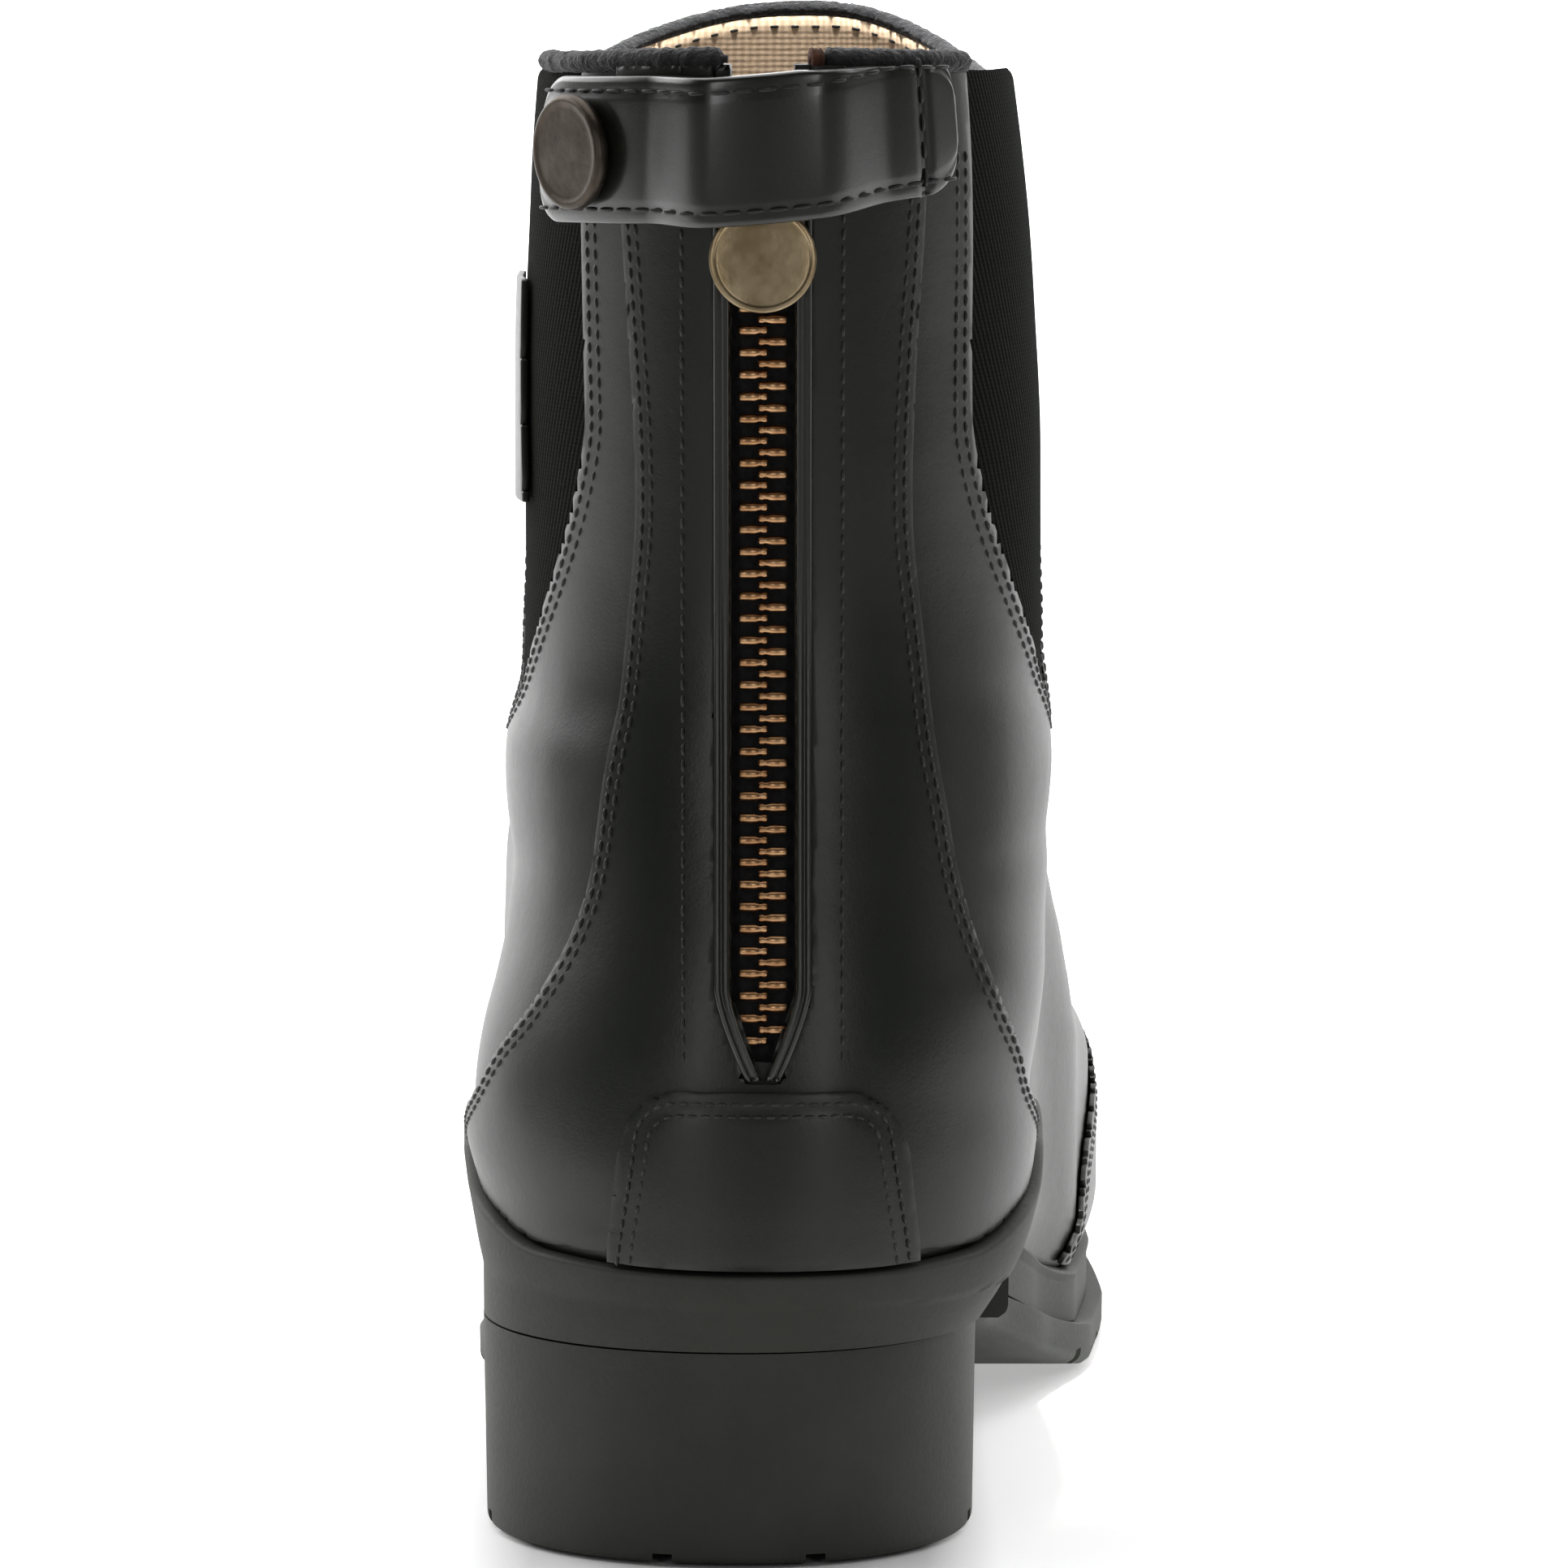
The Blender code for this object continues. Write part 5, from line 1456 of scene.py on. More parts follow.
def path_mesh(name: str, paths: Sequence[Guide]) -> bpy.types.Mesh:
    """Paths as edges, with their outward directions kept on them."""
    edges, start = [], 0
    for path in paths:
        stop = start + len(path.points)
        edges += [(i, i + 1) for i in range(start, stop - 1)]
        start = stop
    mesh = bpy.data.meshes.new(name)
    mesh.from_pydata(np.concatenate([path.points for path in paths]).tolist(), edges, [])
    kept = mesh.attributes.new("outward", "FLOAT_VECTOR", "POINT")
    outward = np.concatenate([path.outward for path in paths])
    kept.data.foreach_set("vector", outward.astype(np.float32).ravel())
    return mesh


def repeated(name: str, paths: Sequence[Guide], piece: bpy.types.Object, material: bpy.types.Material, pitch: float,
             seed: int = 3, uneven: float = 0.0, turned_up: bool = False) -> bpy.types.Object:
    """Repeats a piece along paths with Geometry Nodes, and removes the piece.

    Args:
        name: Name of the result.
        paths: The paths.
        piece: What is repeated: its X lies along the path, or Y where turned_up is set.
        material: Finish of the result.
        pitch: Distance from one to the next.
        seed: Seed of the small differences.
        uneven: Share by which the sizes differ.
        turned_up: Whether the piece's Y lies along the path.

    Returns:
        The repeated pieces as a plain mesh.
    """
    obj = linked(name, path_mesh(name, paths))
    tree = repeat_tree(turned_up)
    modifier = obj.modifiers.new("repeat", "NODES")
    modifier.node_group = tree
    inputs = {"Piece": piece, "Material": material, "Pitch": pitch, "Seed": seed, "Uneven": uneven}
    for item in tree.interface.items_tree:
        if item.item_type == "SOCKET" and item.in_out == "INPUT" and item.name in inputs:
            modifier[item.identifier] = inputs[item.name]
    applied(obj)
    bpy.data.objects.remove(piece)
    obj.data.shade_smooth()
    return obj


def repeat_tree(turned_up: bool) -> bpy.types.NodeTree:
    """Geometry Nodes tree that repeats an object along paths.

    Args:
        turned_up: Whether the object's Y lies along the path, and not its X.

    Returns:
        The tree, with named inputs.
    """
    name = "repeat_up" if turned_up else "repeat_along"
    if name in bpy.data.node_groups:
        return bpy.data.node_groups[name]
    tree = bpy.data.node_groups.new(name, "GeometryNodeTree")
    tree.interface.new_socket("Geometry", in_out="INPUT", socket_type="NodeSocketGeometry")
    for title, kind in (("Piece", "NodeSocketObject"), ("Material", "NodeSocketMaterial"),
                        ("Pitch", "NodeSocketFloat"), ("Seed", "NodeSocketInt"), ("Uneven", "NodeSocketFloat")):
        tree.interface.new_socket(title, in_out="INPUT", socket_type=kind)
    tree.interface.new_socket("Geometry", in_out="OUTPUT", socket_type="NodeSocketGeometry")
    nodes, links = tree.nodes, tree.links
    start, end = nodes.new("NodeGroupInput"), nodes.new("NodeGroupOutput")
    curve = nodes.new("GeometryNodeMeshToCurve")
    resample = nodes.new("GeometryNodeResampleCurve")
    resample.mode = "LENGTH"
    tangent = nodes.new("GeometryNodeInputTangent")
    outward = nodes.new("GeometryNodeInputNamedAttribute")
    outward.data_type = "FLOAT_VECTOR"
    outward.inputs["Name"].default_value = "outward"
    axes = nodes.new("FunctionNodeAxesToRotation")
    axes.primary_axis = "Z"
    axes.secondary_axis = "Y" if turned_up else "X"
    info = nodes.new("GeometryNodeObjectInfo")
    chance = nodes.new("FunctionNodeRandomValue")
    chance.data_type = "FLOAT"
    less, more = nodes.new("ShaderNodeMath"), nodes.new("ShaderNodeMath")
    less.operation, more.operation = "SUBTRACT", "ADD"
    less.inputs[0].default_value = more.inputs[0].default_value = 1.0
    spread = nodes.new("GeometryNodeInstanceOnPoints")
    real = nodes.new("GeometryNodeRealizeInstances")
    paint = nodes.new("GeometryNodeSetMaterial")
    for a, b in (
        (start.outputs["Geometry"], curve.inputs["Mesh"]),
        (curve.outputs["Curve"], resample.inputs["Curve"]),
        (start.outputs["Pitch"], resample.inputs["Length"]),
        (resample.outputs["Curve"], spread.inputs["Points"]),
        (outward.outputs["Attribute"], axes.inputs["Primary Axis"]),
        (tangent.outputs["Tangent"], axes.inputs["Secondary Axis"]),
        (axes.outputs["Rotation"], spread.inputs["Rotation"]),
        (start.outputs["Piece"], info.inputs["Object"]),
        (info.outputs["Geometry"], spread.inputs["Instance"]),
        (start.outputs["Seed"], chance.inputs["Seed"]),
        (start.outputs["Uneven"], less.inputs[1]),
        (start.outputs["Uneven"], more.inputs[1]),
        (less.outputs[0], chance.inputs[2]),
        (more.outputs[0], chance.inputs[3]),
        (chance.outputs[1], spread.inputs["Scale"]),
        (spread.outputs["Instances"], real.inputs["Geometry"]),
        (real.outputs["Geometry"], paint.inputs["Geometry"]),
        (start.outputs["Material"], paint.inputs["Material"]),
        (paint.outputs["Geometry"], end.inputs["Geometry"]),
    ):
        links.new(a, b)
    return tree


@dataclass(frozen=True)
class Strap:
    """Strap over the top of the zip, with its snap."""

    width: float = 19.2 * MM
    thickness: float = 2.0 * MM
    bottom_z: float = 176.6 * MM
    level: float = 1.5 * MM
    hump: float = 5.6 * MM
    outer_end: float = -0.285
    inner_end: float = 0.1975
    corner: float = 5.5 * MM
    snap_radius: float = 7.6 * MM
    snap_thickness: float = 2.4 * MM
    snap_around: float = -0.208
    snap_z: float = 185.3 * MM
    fold_around: float = 0.157
    stitch_at: float = 0.80

    def lift(self, around: np.ndarray) -> tuple[np.ndarray, np.ndarray]:
        """How far the strap's back stands off the form, and the depth of its sewn fold."""
        away = smoothstep(4.8 * MM, 13.5 * MM, np.abs(around * LAST.shaft_depth))
        fold = 0.55 * MM * np.exp(-(((around - self.fold_around) / 0.0055) ** 2))
        return self.level + (self.hump - self.level) * (1 - away), fold

    def middle(self, share: np.ndarray) -> np.ndarray:
        """Height of the strap's middle line."""
        return self.bottom_z + self.width / 2 + (share - 0.5) * 2 * MM + 2.4 * MM * smoothstep(0.45, 1.0, share)

    def build(self, palette: Palette) -> None:
        """Builds the strap and the snap."""
        share = (1 - np.cos(np.linspace(0, np.pi, 150))) / 2 * 0.25 + np.linspace(0, 1, 150) * 0.75
        around = self.outer_end + (self.inner_end - self.outer_end) * share
        length = girth(around) - girth(np.array([self.outer_end]))
        end = np.clip(np.minimum(length, length[-1] - length), 0, self.corner)
        half = self.width / 2 - self.corner + np.sqrt(self.corner ** 2 - (self.corner - end) ** 2)
        under, over = 25, 31
        z_share = np.concatenate([np.linspace(-1, 1, under), [1.0, 0.995], np.linspace(0.97, -0.97, over),
                                  [-0.995, -1.0]])
        rise = np.concatenate([np.zeros(under), [0.35, 0.72], np.ones(over), [0.72, 0.35]])
        dome = np.where(rise == 1, 1 - 0.20 * np.abs(z_share) ** 6, rise)
        trench = np.where(rise == 1, np.exp(-(((np.abs(z_share) - self.stitch_at) / 0.045) ** 2)), 0.0)
        level, fold = self.lift(around)
        turns = np.broadcast_to(around[:, None], (len(around), len(z_share)))
        z = self.middle(share)[:, None] + half[:, None] * z_share[None]
        height = LAST.height_of(turns, lambda _: z)
        lift = level[:, None] + dome[None] * self.thickness - trench[None] * 0.18 * MM
        lift = lift - np.where(rise == 1, 1.0, 0.0)[None] * fold[:, None]
        strap = place(loft("strap_leather", LAST.lifted(height, turns, lift)), palette.strap)
        dress(strap, "boot", "leather", "strap")
        dress(self.snap(palette), "boot", "antique_brass", "snap_cap")

    def snap(self, palette: Palette) -> bpy.types.Object:
        """Domed cap with a rolled rim and a plain face."""
        around = np.array([self.snap_around])
        height = LAST.height_of(around, lambda _: np.array([self.snap_z]))
        outward = Vector(LAST.normal(height, around)[0].tolist())
        lift = float(self.lift(around)[0][0]) + self.thickness + 0.3 * MM + 0.5 * self.snap_thickness
        centre = Vector(LAST.point(height, around)[0].tolist()) + outward * lift
        r, half = self.snap_radius, self.snap_thickness / 2
        profile = [(0.05 * MM, -half), (r - 1.2 * MM, -half), (r - 0.35 * MM, -half + 0.35 * MM),
                   (r, -half + 0.9 * MM), (r - 0.05 * MM, half - 0.7 * MM), (r - 0.3 * MM, half - 0.28 * MM),
                   (r - 0.65 * MM, half - 0.10 * MM), (r - 1.0 * MM, half - 0.12 * MM),
                   (r - 1.3 * MM, half - 0.26 * MM), (r - 1.9 * MM, half - 0.30 * MM),
                   (0.5 * r, half - 0.16 * MM), (0.05 * MM, half - 0.10 * MM)]
        obj = place(turned("snap_metal", profile, centre, outward), palette.snap)
        sharpen(obj, 50)
        return obj


@dataclass(frozen=True)
class Sole:
    """Moulded rubber cup, outsole with its flange and the heel block."""

    wall: float = LAST.cup_wall + LAST.clearance
    cup_gap: float = 0.4 * MM
    taper: float = 0.5 * MM
    draft: float = 0.4 * MM
    lip: float = 0.7 * MM
    edge: float = 1.4 * MM
    ground_cut: float = 0.4 * MM
    block_inset: float = 2.7 * MM
    block_shift: float = -2.7 * MM
    block_edge: float = 1.2 * MM
    groove_width: float = 2.6 * MM
    groove_depth: float = 2.2 * MM
    shallow_depth: float = 1.32 * MM
    groove_spacing: float = 20.2 * MM
    grooves_x: float = 1.4 * MM
    tread_pitch: float = 13 * MM
    tread_before: float = 22 * MM
    columns: int = 300

    def places(self) -> np.ndarray:
        """Even places round the foot."""
        return np.linspace(-1, 1, self.columns, endpoint=False)

    def flat_loop(self, reach: np.ndarray | float, level: Callable[[np.ndarray], np.ndarray]) -> np.ndarray:
        """Loop round the foot, grown and set to a level."""
        around = self.places()
        loop = LAST.foot_loop(np.broadcast_to(reach, around.shape), around)
        return np.concatenate([loop, np.asarray(level(loop[:, 1]))[:, None]], axis=1)

    def welt(self) -> np.ndarray:
        """How far the flange stands out at each place."""
        y = LAST.foot_loop(np.zeros(self.columns), self.places())[:, 1]
        return self.wall + LAST.welt_flange * smoothstep(70 * MM, 110 * MM, y)

    def plan(self, rise: np.ndarray) -> np.ndarray:
        """Plan of the rubber wall, which draws in to the heel block towards its foot."""
        around = self.places()
        wide = LAST.foot_loop(np.full(self.columns, self.wall), around)
        low = LAST.foot_loop(np.full(self.columns, self.wall - self.block_inset + self.taper), around)
        low[:, 0] += self.block_shift * 0.8
        share = (1 - smoothstep(10 * MM, 36 * MM, wide[:, 1])) * (1 - rise) ** 1.5
        return wide + (low - wide) * share[:, None]

    def cup(self) -> bpy.types.Mesh:
        """Rubber cup with a rolled top edge and a shallow step above the heel."""
        around = self.places()
        tops = LAST.height_of(around, LAST.cup_top_z)
        first = self.flat_loop(self.wall - self.draft, LAST.tread_z)
        first[:, :2] = self.plan(np.zeros(self.columns))
        lines = [first]
        step = 0.10 * MM
        rows = [(0.04, self.wall - step), (0.10, self.wall)]
        rows += [(0.10 + 0.76 * i / 11, self.wall) for i in range(1, 12)]
        drawn_in = len(rows)
        rows += [(0.91, self.wall - 0.04 * MM), (0.94, self.wall - 0.02 * MM), (0.97, self.wall - 0.12 * MM),
                 (0.99, self.wall - 0.35 * MM), (1.0, self.wall - self.lip - 0.1 * MM),
                 (1.0, self.cup_gap + 0.5 * MM), (0.985, self.cup_gap)]
        rows += [(share, self.cup_gap) for share in (0.8, 0.6, 0.4, 0.2, 0.0)]
        for number, (share, lift) in enumerate(rows):
            h = tops * share
            line = LAST.point(h, around) + LAST.normal(h, around) * lift
            if number < drawn_in:
                level = self.flat_loop(self.wall, LAST.tread_z)[:, 2]
                rise = np.clip((line[:, 2] - level) / (9 * MM), 0, 1)
                line[:, :2] = np.where((h < 0.03)[:, None], self.plan(rise), line[:, :2])
            lines.append(line)
        floor = lines[-1].copy()
        floor[:, 2] = LAST.seat_z(floor[:, 1])
        lines.append(floor)
        return loft("cup_rubber", np.array(lines))

    def outsole(self) -> bpy.types.Object:
        """Forefoot and waist of the outsole, with tread bars."""
        reach = self.welt()

        def under(y: np.ndarray) -> np.ndarray:
            """Underside of the outsole."""
            return LAST.tread_z(y) - LAST.outsole_thickness - self.ground_cut

        def top(y: np.ndarray) -> np.ndarray:
            """Top of the outsole, under the cup."""
            return LAST.tread_z(y) - LAST.clearance

        lines = [
            self.flat_loop(reach - 0.5 * MM, top),
            self.flat_loop(reach - 0.12 * MM, lambda y: top(y) - 0.15 * MM),
            self.flat_loop(reach, lambda y: top(y) - 0.6 * MM),
            self.flat_loop(reach - 0.05 * MM, lambda y: under(y) + 1.9 * MM),
            self.flat_loop(reach - 0.15 * MM, lambda y: under(y) + 1.3 * MM),
            self.flat_loop(reach - 0.45 * MM, lambda y: under(y) + 0.7 * MM),
            self.flat_loop(reach - self.edge, under),
        ]
        obj = linked("outsole_rubber", loft("outsole_rubber", np.array(lines)))
        boolean(obj, (-FAR, -FAR, -FAR), (FAR, LAST.breast_y + LAST.clearance, FAR))
        boolean(obj, (-FAR, -FAR, -FAR), (FAR, 3 * FAR, 0.0))
        for i in range(8):
            y = LAST.ball_y - self.tread_before + i * self.tread_pitch
            floor = max(float(under(np.array([y + self.groove_width / 2]))[0]), 0.0)
            boolean(obj, (-FAR, y, floor - 20 * MM), (FAR, y + self.groove_width, floor + self.groove_depth))
        return obj

    def heel(self) -> bpy.types.Object:
        """Heel block with a rounded foot and grooves in its tread."""
        reach = self.wall - self.block_inset - self.draft
        lines = [self.flat_loop(reach + self.draft, lambda y: LAST.tread_z(y) - LAST.clearance)]
        lines.append(self.flat_loop(reach, lambda y: np.full_like(y, self.block_edge)))
        for share in (0.75, 0.5, 0.3, 0.14, 0.04, 0.0):
            inset = self.block_edge * (1 - math.sqrt(1 - (1 - share) ** 2))
            lines.append(self.flat_loop(reach - inset, lambda y, z=self.block_edge * share: np.full_like(y, z)))
        loops = np.array(lines)
        loops[..., 0] += self.block_shift
        obj = linked("heel_rubber", loft("heel_rubber", loops))
        boolean(obj, (-FAR, LAST.breast_y, -FAR), (FAR, 4 * FAR, FAR))
        for side in (-1, 1):
            x = self.grooves_x + side * self.groove_spacing / 2
            boolean(obj, (x - self.groove_width / 2, -FAR, -FAR),
                    (x + self.groove_width / 2, FAR, self.shallow_depth))
        for y in (-8 * MM, 14 * MM):
            boolean(obj, (-FAR, y, -FAR), (FAR, y + self.groove_width, self.groove_depth))
        return obj

    def build(self, palette: Palette) -> None:
        """Builds the rubber pieces and lets them ride."""
        cup = place(self.cup(), palette.rubber)
        sharpen(cup, 50)
        dress(cup, "boot", "rubber", "sole_cup")
        for obj, node in ((self.outsole(), "outsole"), (self.heel(), "heel_block")):
            painted(obj, palette.rubber)
            obj.data.shade_smooth()
            sharpen(obj, 40)
            dress(obj, "boot", "rubber", node)
        painted(bpy.data.objects["insole"], palette.lining)


@dataclass(frozen=True)
class Threads:
    """Rows of stitches, and the binding of the collar."""

    pitch: float = 2.1 * MM
    patch_pitch: float = 1.7 * MM
    strap_pitch: float = 3.0 * MM
    collar_pitch: float = 2.9 * MM
    radius: float = 0.27 * MM
    first: float = 1.7 * MM
    second: float = 3.7 * MM
    zip_line: float = 10.1 * MM
    panel_lift: float = 1.3 * MM
    toe_lift: float = 1.22 * MM
    patch_lift: float = 2.5 * MM
    elastic_top_z: float = 206 * MM
    zip_rows_top_z: float = 196 * MM

    def stitch(self, length: float) -> bpy.types.Object:
        """One stitch along X whose ends dip into the leather."""
        loops = []
        angle = np.linspace(0, 2 * np.pi, 6, endpoint=False)
        for share, size, rise in ((-1, 0.45, -0.9), (-0.8, 0.85, -0.35), (-0.35, 1, 0.1), (0.35, 1, 0.1),
                                  (0.8, 0.85, -0.35), (1, 0.45, -0.9)):
            r = self.radius * size
            loops.append(np.stack([np.full(6, share * length / 2), r * np.cos(angle),
                                   r * np.sin(angle) + rise * self.radius], -1))
        obj = linked("stitch", loft("stitch", np.array(loops)))
        obj.data.shade_smooth()
        return obj

    @staticmethod
    def side_path(line: np.ndarray, side: Side, inset: float, lift: float) -> Guide:
        """Row of stitches beside a line in Y and Z on one side, above the rubber and below the collar.

        Args:
            line: Points of the line.
            side: The side that it lies on.
            inset: Distance to the right of the line, seen from the outer side.
            lift: Height of the leather there.

        Returns:
            The path.
        """
        height, around = LAST.at_side(line[:, 0], line[:, 1], side)
        point, normal = LAST.point(height, around), LAST.normal(height, around)
        along = np.gradient(point, axis=0)
        along = along / np.maximum(np.linalg.norm(along, axis=1, keepdims=True), 1e-9)
        across = np.cross(along, normal) * side.value
        height, around = LAST.moved(height, around, across * inset)
        point = LAST.point(height, around)
        keep = (point[:, 2] > LAST.cup_top_z(point[:, 1]) + 1.2 * MM) & (height < 0.985)
        return Guide.on(height[keep], around[keep], lift)

    @staticmethod
    def back_path(x: np.ndarray, z: np.ndarray, lift: float) -> Guide:
        """Path through places in X and Z on the back."""
        return Guide.on(*LAST.on_back(x, z), lift)

    def panel_paths(self) -> list[Guide]:
        """Double rows along the side seams, the heel patch and the elastic sides."""
        paths = []
        for side in Side:
            for inset in (self.first, self.second):
                paths.append(self.side_path(seam_line(BACK_SEAM, 90), side, 0.7 * inset, self.panel_lift))
                paths.append(self.side_path(seam_line(TOE_SEAM, 90), side, inset, self.toe_lift))
                line = OPENING.outline()
                dense = np.linspace(0, len(line) - 1, 240)
                y = np.interp(dense, np.arange(len(line)), line[:, 0])
                z = np.interp(dense, np.arange(len(line)), line[:, 1])
                below = z < self.elastic_top_z
                paths.append(self.side_path(np.stack([y, z], -1)[below], side, inset, 0.0))
            z = np.linspace(SLOT.bottom_z + 3 * MM, self.zip_rows_top_z, 90)
            paths.append(self.back_path(LAST.seam_x + side.value * self.zip_line + 0 * z, z, self.panel_lift))
        return paths

    def patch_paths(self) -> list[Guide]:
        """Double row inside the heel patch's edge."""
        overlays = Overlays()
        paths = []
        for inset in (1.5 * MM, 3.1 * MM):
            half, top, corner = overlays.patch_half, overlays.patch_top, overlays.patch_corner
            angle = np.radians(np.linspace(0, 90, 16))
            r = corner - inset
            arc = np.stack([half * 0.87 - corner + r * np.cos(angle), top - corner + r * np.sin(angle)], -1)
            low = np.array([(half - inset, 36 * MM), (half * 0.96 - inset, top - 20 * MM)])
            line = np.concatenate([low, arc])
            line = np.concatenate([line, line[::-1] * (-1, 1)]) + (LAST.seam_x, 0)
            length = walked(line)
            at = np.linspace(0, length[-1], 120)
            x, z = np.interp(at, length, line[:, 0]), np.interp(at, length, line[:, 1])
            path = self.back_path(x, z, self.patch_lift)
            keep = path.points[:, 2] > LAST.cup_top_z(path.points[:, 1]) + 0.8 * MM
            paths.append(Guide(path.points[keep], path.outward[keep]))
        return paths

    def strap_paths(self) -> list[Guide]:
        """Rows along the strap's edges and across its sewn end."""
        strap = Strap()
        paths = []
        around = np.linspace(strap.outer_end + 0.012, strap.inner_end - 0.012, 100)
        share = (around - strap.outer_end) / (strap.inner_end - strap.outer_end)
        level = strap.lift(around)[0] + strap.thickness - 0.06 * MM
        for edge in (-strap.stitch_at, strap.stitch_at):
            z = strap.middle(share) + edge * strap.width / 2
            height = LAST.height_of(around, lambda _: z)
            paths.append(Guide.on(height, around, level))
        turn = np.full(24, strap.fold_around)
        z = strap.middle(np.full(24, 0.92)) + np.linspace(-0.74, 0.74, 24) * strap.width / 2
        height = LAST.height_of(turn, lambda _: z)
        lift = strap.lift(turn)[0] + strap.thickness - 0.35 * MM
        paths.append(Guide.on(height, turn, lift))
        return paths

    def collar_paths(self) -> list[Guide]:
        """Row on the lining below the collar's front edge."""
        around = np.linspace(0.62, 1.38, 120)
        height = LAST.collar(LAST.wrapped(around), 2.7 * MM)
        lift = Upper().lining_low + 0.12 * MM
        return [Guide(LAST.lifted(height, around, lift), -LAST.normal(height, around))]

    def sew(self, name: str, paths: Sequence[Guide], pitch: float, palette: Palette, share: float = 0.8) -> None:
        """Repeats the stitch along several paths as one piece.

        Args:
            name: Name of the piece.
            paths: The rows.
            pitch: Distance between stitches.
            palette: The finishes.
            share: Length of a stitch as a share of the distance.
        """
        stitch = self.stitch(pitch * share)
        dress(repeated(name, paths, stitch, palette.thread, pitch, seed=5, uneven=0.08), "boot", "leather")

    def binding(self, name: str, start: float, end: float, thick: float) -> bpy.types.Mesh:
        """Bound edge of one stretch of the collar, with a slightly uneven surface.

        Args:
            name: Name of the mesh.
            start: Place round the form where it starts.
            end: Place where it ends.
            thick: Growth from the thin front to the folded back.

        Returns:
            The mesh.
        """
        count = max(24, int(260 * (end - start)))
        around = np.linspace(start, end, count)
        wrapped = LAST.wrapped(around)
        rng = np.random.default_rng(7)
        uneven = np.convolve(rng.normal(0, 1, count + 8), np.ones(3) / 3, "same")[4:-4]
        middle, half = -1.1 + 0.55 * thick, 1.25 + 0.65 * thick
        ends = np.clip(np.minimum(np.arange(count), np.arange(count)[::-1]) / 3.0, 0.35, 1.0)
        height = LAST.collar(wrapped)
        top, normal = LAST.point(height, wrapped), LAST.normal(np.minimum(height, 0.99), wrapped)
        loops = []
        for a in np.linspace(0, 2 * np.pi, 14, endpoint=False):
            size = (1 + 0.06 * uneven + 0.05 * rng.normal(0, 1, count)) * ends
            out = (middle + half * math.cos(a) * size) * MM
            up = (-0.2 + 0.9 * thick + (1.0 + 0.5 * thick) * math.sin(a) * size) * MM
            loops.append(top + normal * out[:, None] + np.array([0, 0, 1]) * up[:, None])
        return loft(name, np.stack(loops, axis=1))

    def build(self, palette: Palette) -> None:
        """Sews the boot and binds its collar."""
        self.sew("panel_stitches", self.panel_paths(), self.pitch, palette)
        self.sew("patch_stitches", self.patch_paths(), self.patch_pitch, palette)
        self.sew("strap_stitches", self.strap_paths(), self.strap_pitch, palette)
        self.sew("collar_stitches", self.collar_paths(), self.collar_pitch, palette, 0.55)
        for name, start, end, thick, finish in (
            ("collar_front", 0.60, 1.40, 0.0, palette.binding),
            ("collar_back_inner", 0.057, 0.262, 1.0, palette.binding),
            ("collar_back_outer", -0.36, -0.0385, 1.0, palette.binding),
            ("collar_raw_edge", 0.046, 0.062, 0.9, palette.cut_edge),
        ):
            dress(place(self.binding(name, start, end, thick), finish), "boot", "leather")


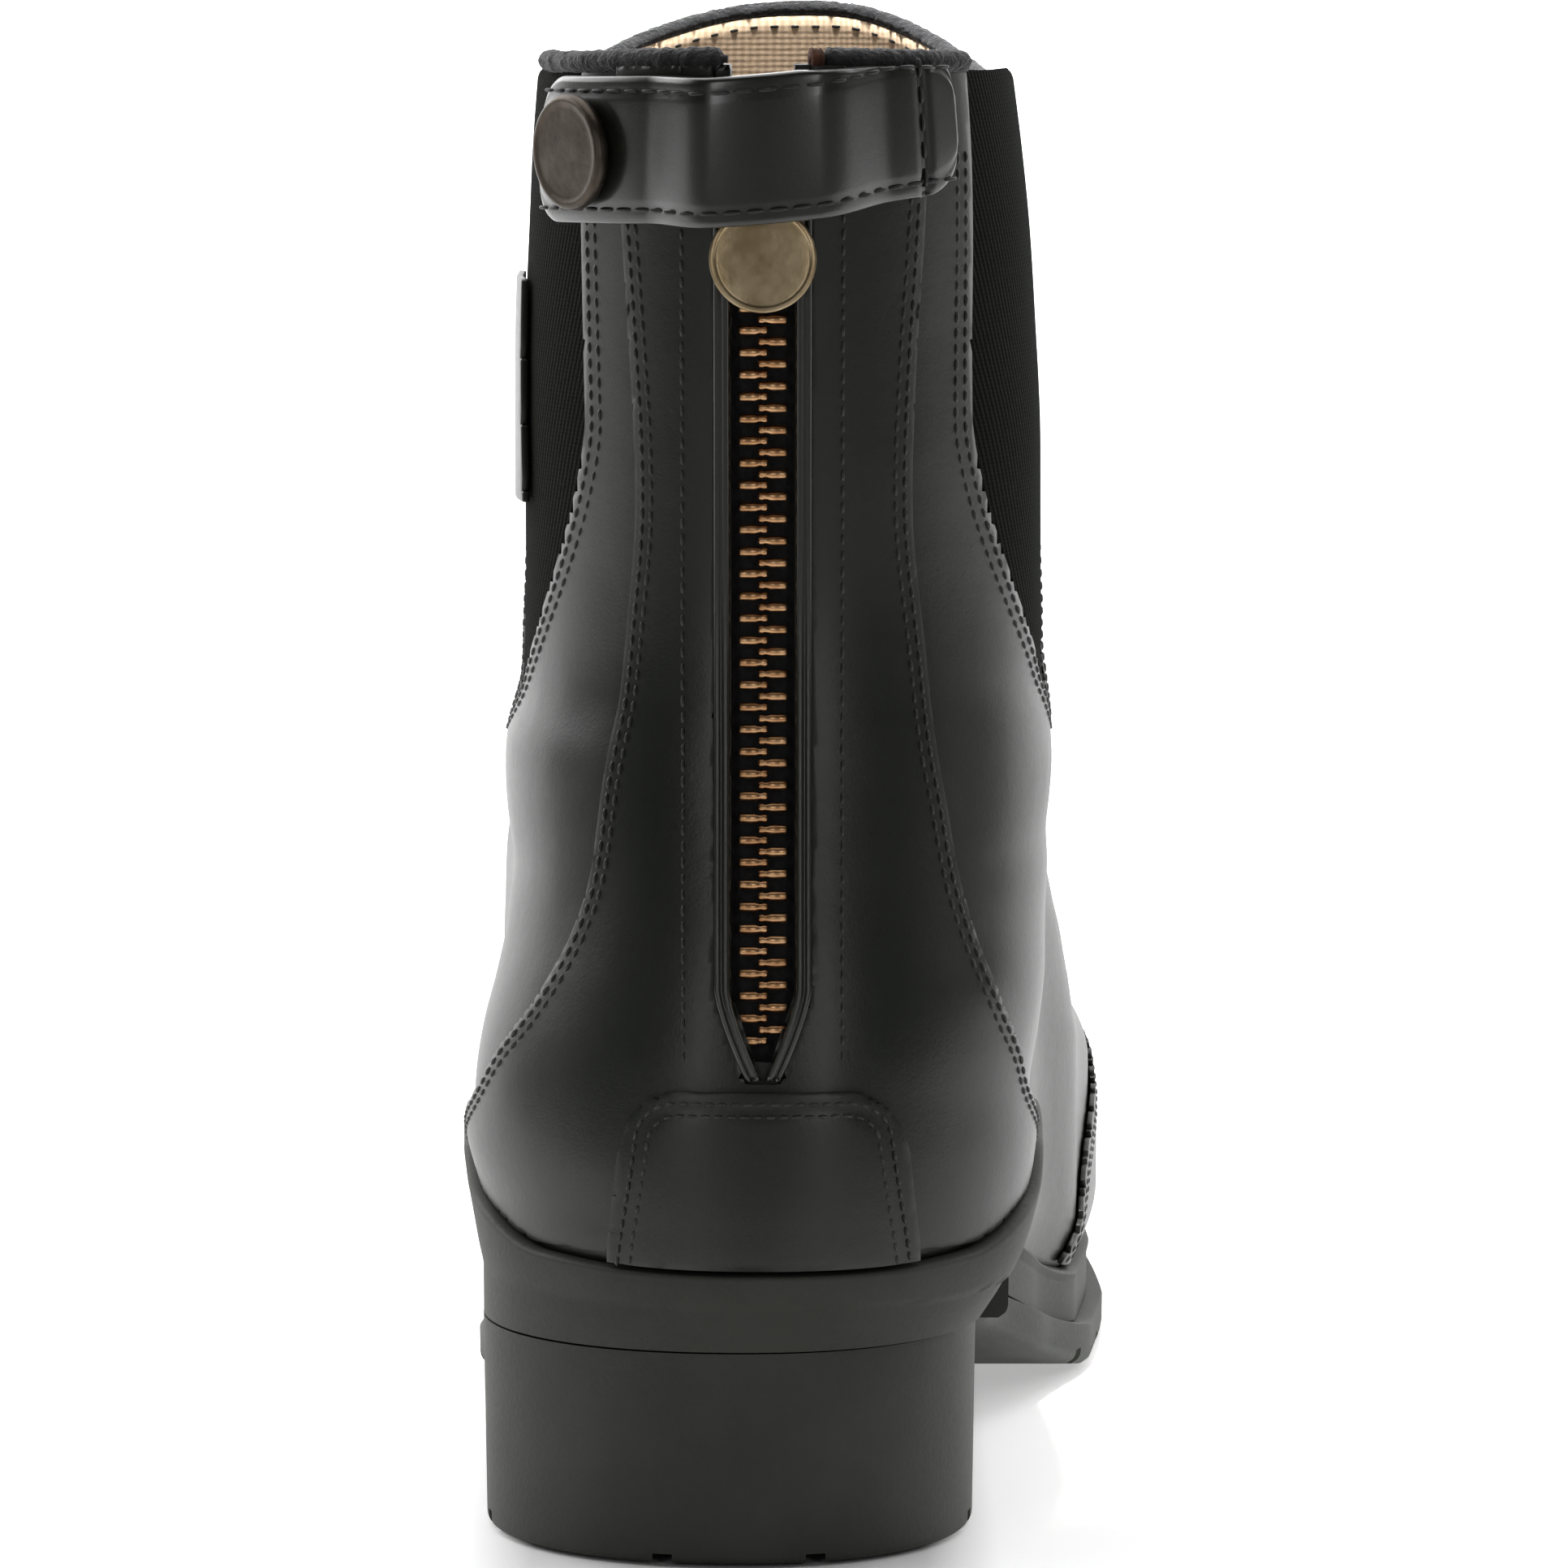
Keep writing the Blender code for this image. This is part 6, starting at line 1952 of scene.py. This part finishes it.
@dataclass(frozen=True)
class Studio:
    """Pale floor, soft lights, white surroundings and the camera."""

    camera_at: tuple[float, float, float] = (0.00735, -1.237, 0.2306)
    pitch_down: float = 6.044
    lens: float = 212.85
    exposure: float = 0.0
    within: float = 0.085
    top: float = 14.0
    left: float = 9.5
    right: float = 3.0
    box_left: float = 0.8
    box_right: float = 2.2
    strip: float = 1.2
    surroundings: float = 0.035
    wall_glow: float = 1.1

    def backdrop(self) -> None:
        """White wall far behind the boot that glows evenly."""
        corners = np.array([(-2.6, 1.7, -0.6), (2.6, 1.7, -0.6), (2.6, 1.7, 2.4), (-2.6, 1.7, 2.4)])
        kit = Nodes("studio_glow")
        for name, value in (("Base Color", WHITE), ("Emission Color", WHITE), ("Emission Strength", self.wall_glow)):
            kit.set(name, value)
        place(closed_mesh("studio_wall", corners, [[0, 1, 2, 3]]), kit.material)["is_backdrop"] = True

    def floor(self) -> None:
        """Pale level floor that darkens towards the camera and glows beside the boot."""
        corners = np.array([(-3.0, -2.5, 0.0), (3.0, -2.5, 0.0), (3.0, 1.69, 0.0), (-3.0, 1.69, 0.0)])
        kit = Nodes("studio_white")
        kit.set("Roughness", 0.9)
        kit.set("Emission Color", WHITE)
        at = kit.node("ShaderNodeSeparateXYZ", Vector=kit.coordinates()).outputs
        fade = kit.ramp(at["Y"], -0.36, -0.09, 0.16, 0.95)
        # Painted light: the floor glows to look white, except in a narrow band along the middle under the heel
        beside = kit.ramp(kit.math("ABSOLUTE", at["X"]), 0.026, 0.036, 0.0, 0.42, "LINEAR")
        kit.link(fade, "Base Color")
        kit.link(kit.math("MULTIPLY", fade, beside), "Emission Strength")
        floor = place(closed_mesh("studio_floor", corners, [[0, 1, 2, 3]]), kit.material)
        floor.location.z = -0.4 * MM
        floor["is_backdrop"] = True

    def area(self, name: str, at: tuple[float, float, float], aim: tuple[float, float, float],
             size: tuple[float, float], power: float, spread: float = 180.0) -> None:
        """Soft rectangular light that looks at a point, narrowed to a spread in degrees."""
        light = bpy.data.lights.new(name, "AREA")
        light.shape = "RECTANGLE"
        light.size, light.size_y = size
        light.energy = power
        light.spread = math.radians(spread)
        obj = linked(name, light)
        obj.location = at
        obj.rotation_euler = (Vector(aim) - Vector(at)).to_track_quat("-Z", "Y").to_euler()

    def build(self) -> None:
        """Builds the studio."""
        self.floor()
        self.backdrop()
        middle = (0.0, 0.0, 0.12)
        self.area("inside", (0.01, -0.035, 0.62), (0.012, 0.052, 0.195), (0.05, 0.05), self.within, 16.0)
        self.area("top", (0.0, 0.35, 1.5), (0.0, 0.05, 0.0), (1.8, 1.6), self.top)
        for name, at, size, power in (
            ("side_left", (-1.0, 0.62, 0.80), (1.2, 0.9), self.left),
            ("side_right", (1.0, 0.66, 0.80), (1.2, 0.9), self.right),
            ("strip_left", (-0.46, -1.12, 0.34), (0.09, 0.7), self.strip),
            ("strip_right", (0.44, -1.12, 0.34), (0.09, 0.7), self.strip),
            ("box_left", (-1.2, -0.05, 0.78), (0.35, 0.7), self.box_left),
            ("box_right", (1.2, -0.05, 0.78), (0.35, 0.7), self.box_right),
        ):
            self.area(name, at, middle, size, power)
        world = bpy.data.worlds.new("studio")
        bpy.context.scene.world = world
        world.use_nodes = True
        back = world.node_tree.nodes["Background"]
        back.inputs["Color"].default_value = WHITE
        back.inputs["Strength"].default_value = self.surroundings
        camera = bpy.data.cameras.new("camera")
        camera.sensor_width = 36
        camera.lens = self.lens
        obj = linked("camera", camera)
        obj.location = self.camera_at
        obj.rotation_euler = (math.radians(90 - self.pitch_down), 0, 0)
        bpy.context.scene.camera = obj
        view = bpy.context.scene.view_settings
        view.view_transform = "Standard"
        view.look = "None"
        view.exposure = self.exposure


def save_size(before: object, after: object) -> None:
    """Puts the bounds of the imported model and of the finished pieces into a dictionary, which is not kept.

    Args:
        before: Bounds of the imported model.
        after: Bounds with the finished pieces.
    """
    def plain(value: object) -> object:
        """Numbers and lists that JSON takes."""
        if isinstance(value, (int, float)):
            return float(value)
        return [plain(item) for item in value]

    {"frame": plain(before), "finished": plain(after)}


def main() -> None:
    """Builds the boot and its studio."""
    logging.basicConfig(level=logging.INFO, format="%(name)s: %(message)s")
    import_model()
    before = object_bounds()
    palette = Palette.make()
    Upper().build(palette)
    Overlays().build(palette)
    Zip().build(palette)
    Strap().build(palette)
    Sole().build(palette)
    Threads().build(palette)
    Studio().build()
    save_size(before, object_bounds())


if __name__ == "__main__":
    main()
